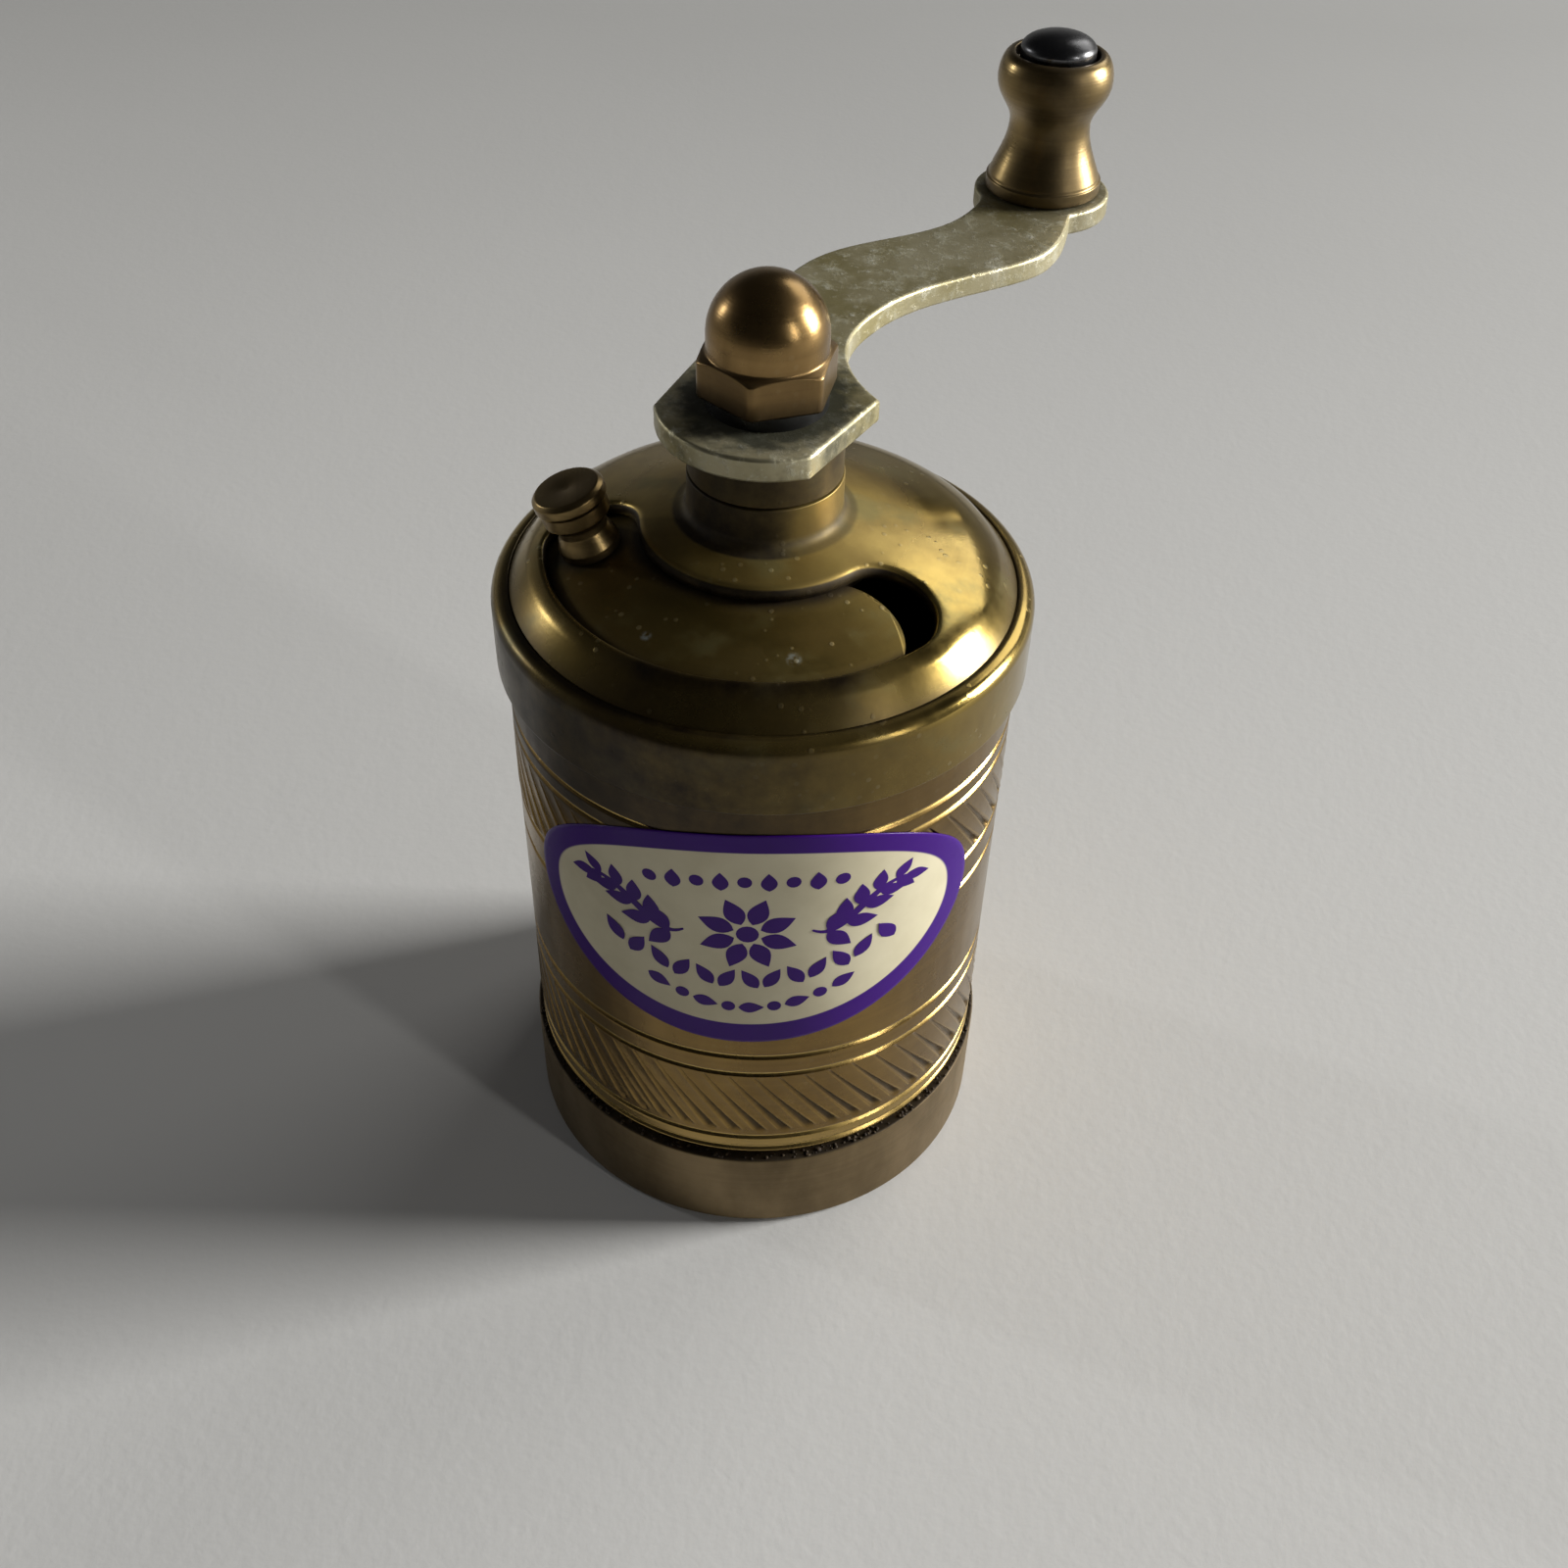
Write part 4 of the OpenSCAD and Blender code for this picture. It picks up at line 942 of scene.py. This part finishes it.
def crank_outline():
    corner = Vector((sqrt(HUB_R ** 2 - HUB_FLAT ** 2), -HUB_FLAT))
    left_angle = radians(127.5)
    left = polar(HUB_R, left_angle)
    eye = Vector((CRANK_LEN, 0))
    right_angle, notch_angle = radians(231), radians(140)
    notch_right = eye + polar(EYE_R, right_angle)
    notch_left = eye + polar(EYE_R, notch_angle)
    hollow, belly = Vector((17, 0.3)), Vector((CRANK_LEN - 11.7, -6.6))
    crest, waist = Vector((21, 10.1)), Vector((CRANK_LEN - 9.1, 3.3))

    def curve(a, a_out, b_in, b):
        return bezier(a, a + Vector(a_out), b + Vector(b_in), b)[:-1]

    path = curve(corner, (2.4, 4.9), (-6, 0.2), hollow)
    path += curve(hollow, (8.5, 0), (-5.2, 0), belly)
    path += curve(belly, (3.3, 0), (-2, -0.6), notch_right)
    path += arc(eye, EYE_R, right_angle, notch_angle + 2 * pi, 48)[:-1]
    path += curve(notch_left, (-1, -0.5), (2, 0), waist)
    path += curve(waist, (-7.3, 0), (7.5, 0), crest)
    path += curve(crest, (-8, 0), (7.3, 1.35), left)
    straight = pi + atan2(HUB_FLAT, corner.x)
    path += arc((0, 0), HUB_R, left_angle, straight, 40)[:-1]
    path += [polar(HUB_R, straight).lerp(corner, k / 12) for k in range(12)]
    return path


def inset(path, distance):
    """A closed counter-clockwise path moved inwards."""
    out = []
    n = len(path)
    for i, p in enumerate(path):
        along = (path[(i + 1) % n] - path[i - 1]).normalized()
        out.append(p + Vector((-along.y, along.x)) * distance)
    return out


CRANK_EDGE = 0.32
CRANK_EDGE_STEPS = 4


def make_crank():
    outline = crank_outline()
    corners = ((1, -1), (1, 1), (-1, 1), (-1, -1))
    hub_hole = [Vector((x * SQUARE_HALF, y * SQUARE_HALF)) for x, y in corners]
    eye_hole = [Vector((CRANK_LEN, 0)) + p for p in circle(RIVET_R + 0.02, 32)]
    top_loop = inset(outline, CRANK_EDGE)

    def keep(p):
        return inside(p, top_loop) and not inside(p, hub_hole) and not inside(p, eye_hole)

    grid = [Vector((i + 0.5 * (j % 2), j * 0.9)) for i in range(-12, 62) for j in range(-10, 14)]
    inner = [p for p in grid if keep(p) and min((p - q).length for q in top_loop) > 0.5]
    plan, tris = sheet([top_loop, hub_hole, eye_hole], inner, keep)
    points = [(p.x, p.y, z) for z in (CRANK_SHEET, 0.0) for p in plan]
    faces = tris + [[i + len(plan) for i in reversed(t)] for t in tris]
    grime_shade_wear = [0.0] * len(points)
    turns = [0.5 * pi * k / CRANK_EDGE_STEPS for k in range(CRANK_EDGE_STEPS + 1)]
    levels = [(CRANK_EDGE * (1 - sin(a)), CRANK_EDGE * (1 - cos(a))) for a in turns]
    rows = [(d, CRANK_SHEET - z) for d, z in levels] + levels[::-1]
    faces += [f[::-1] for f in strips(len(points), len(rows), len(outline))]
    for i, (distance, z) in enumerate(rows):
        points += [(p.x, p.y, z) for p in inset(outline, distance)]
        grime_shade_wear += [-1.0 if 1 <= i <= 3 else -0.3] * len(outline)
    for hole in (hub_hole, eye_hole):
        faces += strips(len(points), 2, len(hole))
        points += [(p.x, p.y, z) for z in (CRANK_SHEET, 0.0) for p in hole]
        grime_shade_wear += [0.0] * (2 * len(hole))
    worn = {}
    for p, dirt_and_shade in zip(points, grime_shade_wear):
        worn[spot(p)] = min(worn.get(spot(p), 0.0), dirt_and_shade)
    points, faces = welded(points, faces)
    grime_shade_wear = [worn[spot(p)] for p in points]
    where = Matrix.Translation((0, 0, CRANK_Z * MM)) @ Matrix.Rotation(CRANK_BEARING, 4, "Z")
    smooth_piece("crank_arm_pressed", points, faces, crank_plate, "crank", ["crank_arm"],
                 grime_shade_wear, where)


# Bearings across one side of the hexagon, close together at its corner
NUT_SWINGS = (-30, -28.5, -26.5, -23, -17, -9, 0, 9, 17, 23, 26.5, 28.5)
NUT_CORNER = radians(28)


def nut_profile(swing):
    """Radius and height from the bore's end to the crown, at a bearing off a side's middle."""
    flat = min(NUT_HALF / cos(swing), NUT_HALF / cos(NUT_CORNER))
    chamfer = NUT_HEX_H - (flat - NUT_HALF) / 2
    dome = arc((0, NUT_HEX_H + NUT_NECK), NUT_DOME_R, 0, 0.5 * pi, 20)[:-1]
    return [
        (NUT_BORE_R, NUT_BORE_TOP), (NUT_BORE_R, 0.15), (NUT_BORE_R + 0.15, 0), (flat - 0.25, 0),
        (flat - 0.06, 0.07), (flat, 0.25), (flat, 0.6 * chamfer), (flat, chamfer - 0.1),
        (flat - 0.03, chamfer + 0.02),
        (0.5 * (flat + NUT_HALF) - 0.03, 0.5 * (chamfer + NUT_HEX_H)), (NUT_HALF - 0.02, NUT_HEX_H),
        (NUT_DOME_R + 0.12, NUT_HEX_H + 0.03), (NUT_DOME_R + 0.02, NUT_HEX_H + 0.12),
        (NUT_DOME_R, NUT_HEX_H + 0.3),
    ] + [tuple(p) for p in dome]


def make_nut():
    columns = [(radians(60 * k + 30 + d), nut_profile(radians(d))) for k in range(6) for d in NUT_SWINGS]
    n, m = len(columns), len(columns[0][1])
    points = []
    for i in range(m):
        points += [(*polar(profile[i][0], bearing), profile[i][1]) for bearing, profile in columns]
    points += [(0, 0, NUT_HEX_H + NUT_NECK + NUT_DOME_R), (0, 0, NUT_BORE_TOP)]
    crown = m * n
    faces = strips(0, m, n) + fan(crown - n, n, crown) + fan(0, n, crown + 1)
    # Painted shade at the hex's foot against the plate; darker over the whole hex.
    grime_shade_wear = [max(0.85 * near(p[2], 0, 1.6), 0.4 if p[2] < NUT_HEX_H + 0.3 else 0.0) for p in points]
    where = Matrix.Translation((0, 0, NUT_Z * MM)) @ Matrix.Rotation(NUT_TURN, 4, "Z")
    smooth_piece("cap_nut_turned", points, faces, nut_brass, "crank", ["cap_nut"],
                 grime_shade_wear, where)


def at_eye(z):
    return Matrix.Translation(Vector((*polar(CRANK_LEN, CRANK_BEARING), z)) * MM)


def make_grip():
    base, waist, head, band = GRIP_BASE_R, GRIP_WAIST_R, GRIP_HEAD_R, GRIP_BAND
    bore, floor = RIVET_R + 0.05, GRIP_H - RECESS_DEPTH
    profile = rounded([
        (bore, 0, 0), (base - 0.1, 0, 0.1), (base, 0.12, 0.1), (base, band, 0.12),
        (base - 0.2, band + 0.12, 0),
    ])
    profile += bezier((base - 0.2, band + 0.2), (waist + 0.7, 0.26 * GRIP_H), (waist, 0.36 * GRIP_H),
                      (waist, 0.5 * GRIP_H), 24)
    profile += bezier((waist, 0.5 * GRIP_H), (waist, 0.62 * GRIP_H), (head, 0.68 * GRIP_H),
                      (head, 0.82 * GRIP_H), 20)[1:]
    profile += bezier((head, 0.82 * GRIP_H), (head, 0.92 * GRIP_H), (RECESS_R + 0.9, GRIP_H),
                      (RECESS_R + 0.3, GRIP_H), 12)[1:]
    profile += rounded([
        (RECESS_R + 0.3, GRIP_H, 0), (RECESS_R, GRIP_H, 0.2), (RECESS_R, floor, 0.15), (bore, floor, 0),
    ])[1:]

    # Painted shade in the recess under the rivet head and on the side towards the camera, standing in for
    # dark reflections; darker at the foot.
    def dirt_and_shade(p):
        r = hypot(p.x, p.y)
        recess = 1.0 if r < RECESS_R + 0.05 and p.z > floor - 0.1 else 0.0
        camera_side_shade = 0.68 * max(0.0, -p.y / r) ** 2
        return max(recess, 0.8 * near(p.z, 0.4, 1.4), camera_side_shade)

    turned("grip_knob_turned", profile, knob_brass, "grip", "brass_turned", ["grip_knob"],
           at_eye(GRIP_Z), dirt_and_shade)


def make_rivet():
    under = GRIP_Z + GRIP_H - RECESS_DEPTH + 0.15 - CRANK_Z
    edge, top = under + RIVET_EDGE, under + RIVET_EDGE + RIVET_CROWN
    profile = rounded([
        (0, -0.8, 0), (2.8, -0.8, 0.3), (3.2, 0, 0.15), (RIVET_R, 0, 0.05), (RIVET_R, under, 0.05),
        (RIVET_HEAD_R - 0.1, under, 0.12), (RIVET_HEAD_R, under + 0.3, 0.1), (RIVET_HEAD_R, edge - 0.1, 0),
    ])
    profile += bezier((RIVET_HEAD_R, edge), (RIVET_HEAD_R - 0.08, edge + 0.62), (2.2, top), (0, top), 24)
    turned("grip_rivet_headed", profile, dark_steel, "crank", "dark_steel", ["grip_rivet"],
           at_eye(CRANK_Z), None, 96)


# Burr spring, wound as a coil of wire; in the mill it shortens against the collar as the cone burr rises,
# but here it keeps its length

WIRE_SIDES = 16
TURN_STEPS = 40


def make_spring():
    low = SPRING_FOOT + WIRE_R
    rise = SPRING_TOP - WIRE_R - low
    rings = SPRING_TURNS * TURN_STEPS
    climb = atan2(rise, 2 * pi * SPRING_R * SPRING_TURNS)
    points = []
    for i in range(rings + 1):
        turn = Matrix.Rotation(2 * pi * i / TURN_STEPS, 3, "Z")
        level = low + rise * i / rings
        for out, up in circle(WIRE_R, WIRE_SIDES):
            points.append(turn @ Vector((SPRING_R + out, -up * sin(climb), level + up * cos(climb))))
    ends = [list(range(WIRE_SIDES)), list(range(rings * WIRE_SIDES, len(points)))]
    faces = strips(0, rings + 1, WIRE_SIDES) + ends
    spring = smooth_piece("burr_spring_wound", points, faces, turned_steel, "crank", ["burr_spring"],
                          normals=False)
    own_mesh(spring)


# Label: thin printed foil bent round the tube, with a plain leaf-and-rosette ornament

def label_point(p, lift):
    """A point of the label from its front view, lifted off the tube."""
    r = LABEL_R + lift
    x, z = Matrix.Rotation(LABEL_TILT, 2) @ Vector(p)
    return Matrix.Rotation(LABEL_TURN, 3, "Z") @ Vector((x, -sqrt(r * r - x * x), LABEL_Z + z))


LABEL_STEPS = 192
LABEL_INSETS = (1, 2, 3, 4.5, 6, 7.5, 9, 10.5, 11.6, 12.2)
# Up to this inset the loops keep one distance to the edge; further in they shrink towards the middle
EVEN_INSET = 6


def label_loop(inset_by):
    """The label's outline in its front view, moved inwards."""
    high = LABEL_HALF_H - inset_by
    wide = LABEL_HALF_W - inset_by
    if inset_by >= EVEN_INSET:
        shrink = 1 - inset_by / LABEL_HALF_H
        wide = (LABEL_HALF_W - EVEN_INSET) * shrink / (1 - EVEN_INSET / LABEL_HALF_H)
    out = []
    for i in range(LABEL_STEPS):
        a = 2 * pi * i / LABEL_STEPS
        c, s = (math.copysign(abs(v) ** (2 / LABEL_SQUARE), v) for v in (cos(a), sin(a)))
        out.append((c * wide, s * high))
    return out


def make_label():
    loops = [(d, 0.0) for d in reversed(LABEL_INSETS)]
    loops += [(0.0, 0.0), (0.0, LABEL_SHEET - 0.04), (0.04, LABEL_SHEET), (0.3, LABEL_SHEET)]
    loops += [(d, LABEL_SHEET) for d in LABEL_INSETS]
    points = [label_point(p, lift) for d, lift in loops for p in label_loop(d)]
    faces = strips(0, len(loops), LABEL_STEPS)
    for first, lift in ((0, 0.0), (len(points) - LABEL_STEPS, LABEL_SHEET)):
        points.append(label_point((0, 0), lift))
        faces += fan(first, LABEL_STEPS, len(points) - 1)
    smooth_piece("label_foil_bent", points, faces, label_foil, "mill", ["label"], normals=False)


INK_LIFT = LABEL_SHEET + 0.015
INK_UNDER = LABEL_SHEET - 0.02
INK_GRID = 0.45
INK_SHARP = radians(40)


def leaf(centre, length, width, turn, count=10):
    """Outline of a leaf pointing along turn."""
    out = []
    for side in (1, -1):
        for i in range(count):
            t = i / count if side == 1 else 1 - i / count
            u = (t - 0.5) * length
            v = side * 0.5 * width * sin(pi * t ** 0.8)
            out.append(Vector((centre[0] + u * cos(turn) - v * sin(turn),
                               centre[1] + u * sin(turn) + v * cos(turn))))
    return out


def dot(centre, radius):
    return [Vector(centre) + p for p in circle(radius, 16)]


def ribbon(path, width):
    """Outline of a line of some width that thins out at its ends."""
    left, right = [], []
    for i, p in enumerate(path):
        along = (path[min(i + 1, len(path) - 1)] - path[max(i - 1, 0)]).normalized()
        half = 0.5 * width * sin(pi * (0.08 + 0.84 * i / (len(path) - 1)))
        side = Vector((-along.y, along.x)) * half
        left.append(p + side)
        right.append(p - side)
    return left + right[::-1]


def bowed_row(half, pitch, height, bow):
    """Places along a bowed row, numbered from its middle."""
    return [(k, (k * pitch, height + bow * (k * pitch) ** 2)) for k in range(-half, half + 1)]


def ornament():
    """Outlines of a rosette, two sprigs and three rows of leaves and dots."""
    middle = Vector((0, 1.3))
    shapes = [dot(middle, 0.95)]
    for k in range(8):
        a = pi * k / 4 + pi / 8
        shapes.append(leaf(middle + polar(2.75, a), 3.1, 1.75, a))
    for side in (-1, 1):
        ends = ((5.3, 1.2), (8.0, -0.9), (9.8, 5.4), (13.2, 4.2))
        stem = bezier(*[(side * x, y) for x, y in ends], 24)
        shapes.append(ribbon(stem, 0.7))
        for i, k in enumerate((3, 8, 13, 17, 21)):
            p, q = stem[k], stem[k + 1]
            along = atan2(q.y - p.y, q.x - p.x)
            size = 2.8 - 0.2 * i
            for flank in (-1, 1):
                turn = along + flank * 0.8
                shapes.append(leaf(p + polar(0.6 * size, turn), size, 0.55 * size, turn))
        shapes.append(leaf(stem[-1] + Vector((side * 0.6, -0.3)), 2.1, 1.1, atan2(-0.35, side)))
    for k, at in bowed_row(4, 1.95, 7.3, -0.012):
        shapes.append(leaf(at, 2.0, 1.35, pi / 2) if k % 2 else dot(at, 0.6))
    for k, at in bowed_row(6, 1.9, -4.2, 0.022):
        shapes.append(leaf(at, 2.6, 1.3, 1.0 if k % 2 else 2.1))
    for k, at in bowed_row(4, 1.95, -7.8, 0.034):
        shapes.append(dot(at, 0.6) if k % 2 else leaf(at, 2.2, 1.3, 0.068 * at[0]))
    return shapes


def grid_inside(loop):
    """Points on a fine grid inside a closed loop, so that a flat shape can bend."""
    spans = []
    for values in zip(*loop):
        spans.append(range(math.ceil(min(values) / INK_GRID), math.floor(max(values) / INK_GRID) + 1))
    grid = [Vector((i * INK_GRID, j * INK_GRID)) for i in spans[0] for j in spans[1]]
    return [p for p in grid if inside(p, loop) and min((p - q).length for q in loop) > 0.3 * INK_GRID]


def make_ornament():
    """The printed shapes as one thin sheet, joined where they overlap."""
    loops = ornament()
    grid = {tuple(p): p for loop in loops for p in grid_inside(loop)}
    plan, tris = sheet(loops, list(grid.values()), lambda p: any(inside(p, loop) for loop in loops))
    points, faces = plate(plan, tris, label_point, INK_LIFT, INK_UNDER)
    made = smooth_piece("label_ornament", points, faces, label_ink, "mill", normals=False)
    made.data.set_sharp_from_angle(angle=INK_SHARP)


# CAD nodes that stay, with their finishes

KEPT = (
    (bush_bronze, ("neck_bush", "retaining_nut", "spider_bush", "adjusting_screw")),
    (turned_steel, ("spring_washer_ring", "spindle", "burr_dowels", "thrust_collar", "bridge",
                    "thrust_ball")),
    (dark_steel, ("lock_washer", "collar_pin", "bridge_screws")),
    (burr_steel, ("ring_burr", "cone_burr")),
    (cast_brass, ("burr_housing", "bearing_spider")),
)


def dress_nodes():
    for finish, names in KEPT:
        for name in names:
            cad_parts[name].material_slots[0].material = finish


# Floor, lights and camera

DAYLIGHT = (1.0, 0.99, 0.96)
COOL_DAYLIGHT = (0.98, 0.99, 1.0)
# In metres
FLOOR_HALF = 8.0
WINDOW_FAR = 2.5
WINDOW_AIM = Vector((0, 0, 0.04))


def make_floor():
    corners = ((-1, -1), (1, -1), (1, 1), (-1, 1))
    mesh = bpy.data.meshes.new("floor")
    mesh.from_pydata([(x * FLOOR_HALF, y * FLOOR_HALF, 0) for x, y in corners], [], [(0, 1, 2, 3)])
    mesh.materials.append(pale_paper("pale_paper"))
    floor = linked("floor", mesh)


def window(name, bearing, climb, wide, tall, watts, colour=DAYLIGHT):
    """A soft window, by its bearing and climb in degrees as seen from the mill."""
    lamp = bpy.data.lights.new(name, "AREA")
    lamp.shape = "RECTANGLE"
    lamp.size, lamp.size_y = wide, tall
    lamp.energy = watts
    lamp.color = colour
    bearing, climb = radians(bearing), radians(climb)
    away = Vector((*polar(cos(climb), bearing), sin(climb)))
    made = linked(name, lamp)
    made.location = WINDOW_AIM + away * WINDOW_FAR
    made.rotation_euler = away.to_track_quat("Z", "Y").to_euler()


def light_stage():
    window("window_right", 8, 16, 0.74, 1.1, 138)
    window("window_right_high", 48, 34, 1.3, 1.1, 12)
    window("window_front", -38, 20, 0.14, 1.0, 9)
    window("window_left", 157, 16, 0.12, 0.42, 7.5, COOL_DAYLIGHT)
    room = Finish(bpy.data.worlds.new("room"), "Background", "OutputWorld")
    towards = room.node("TexCoord", {}, "Generated")
    walls = between(room, part_of(room, towards, "Z"), 0.55, -0.05)
    unlit = between(room, part_of(room, towards, "Y"), 0.1, -0.7)
    colour = mixed(room, walls - unlit * 0.85, (0.02, 0.02, 0.021), (0.27, 0.268, 0.26))
    room.feed(room.shader, {"Color": colour, "Strength": 1.0})
    bpy.context.scene.world = room.owner
    bpy.context.scene.view_settings.view_transform = "Standard"


# Camera fitted to the photograph: place in millimetres, lens and sensor in millimetres, turns in degrees
CAMERA_AT = Vector((0, -116.97, 143.57))
CAMERA_LENS, CAMERA_SENSOR = 39.375, 36.0
CAMERA_PITCH, CAMERA_YAW, CAMERA_ROLL = 42.236, 1.08, 1.742


def make_camera():
    lens = bpy.data.cameras.new("camera")
    lens.sensor_fit = "HORIZONTAL"
    lens.sensor_width = CAMERA_SENSOR
    lens.lens = CAMERA_LENS
    lens.clip_start = 0.01
    camera = linked("camera", lens)
    place_at = Matrix.Translation(CAMERA_AT * MM)
    for degrees, axis in ((-CAMERA_YAW, "Z"), (90 - CAMERA_PITCH, "X"), (CAMERA_ROLL, "Z")):
        place_at @= Matrix.Rotation(radians(degrees), 4, axis)
    camera.matrix_world = place_at
    bpy.context.scene.camera = camera


make_camera()
make_cup()
make_crumbs()
make_body()
make_lid()
make_shutter()
make_tab()
make_spacer()
make_crank()
make_nut()
make_grip()
make_rivet()
make_spring()
make_label()
make_ornament()
dress_nodes()
make_floor()
light_stage()
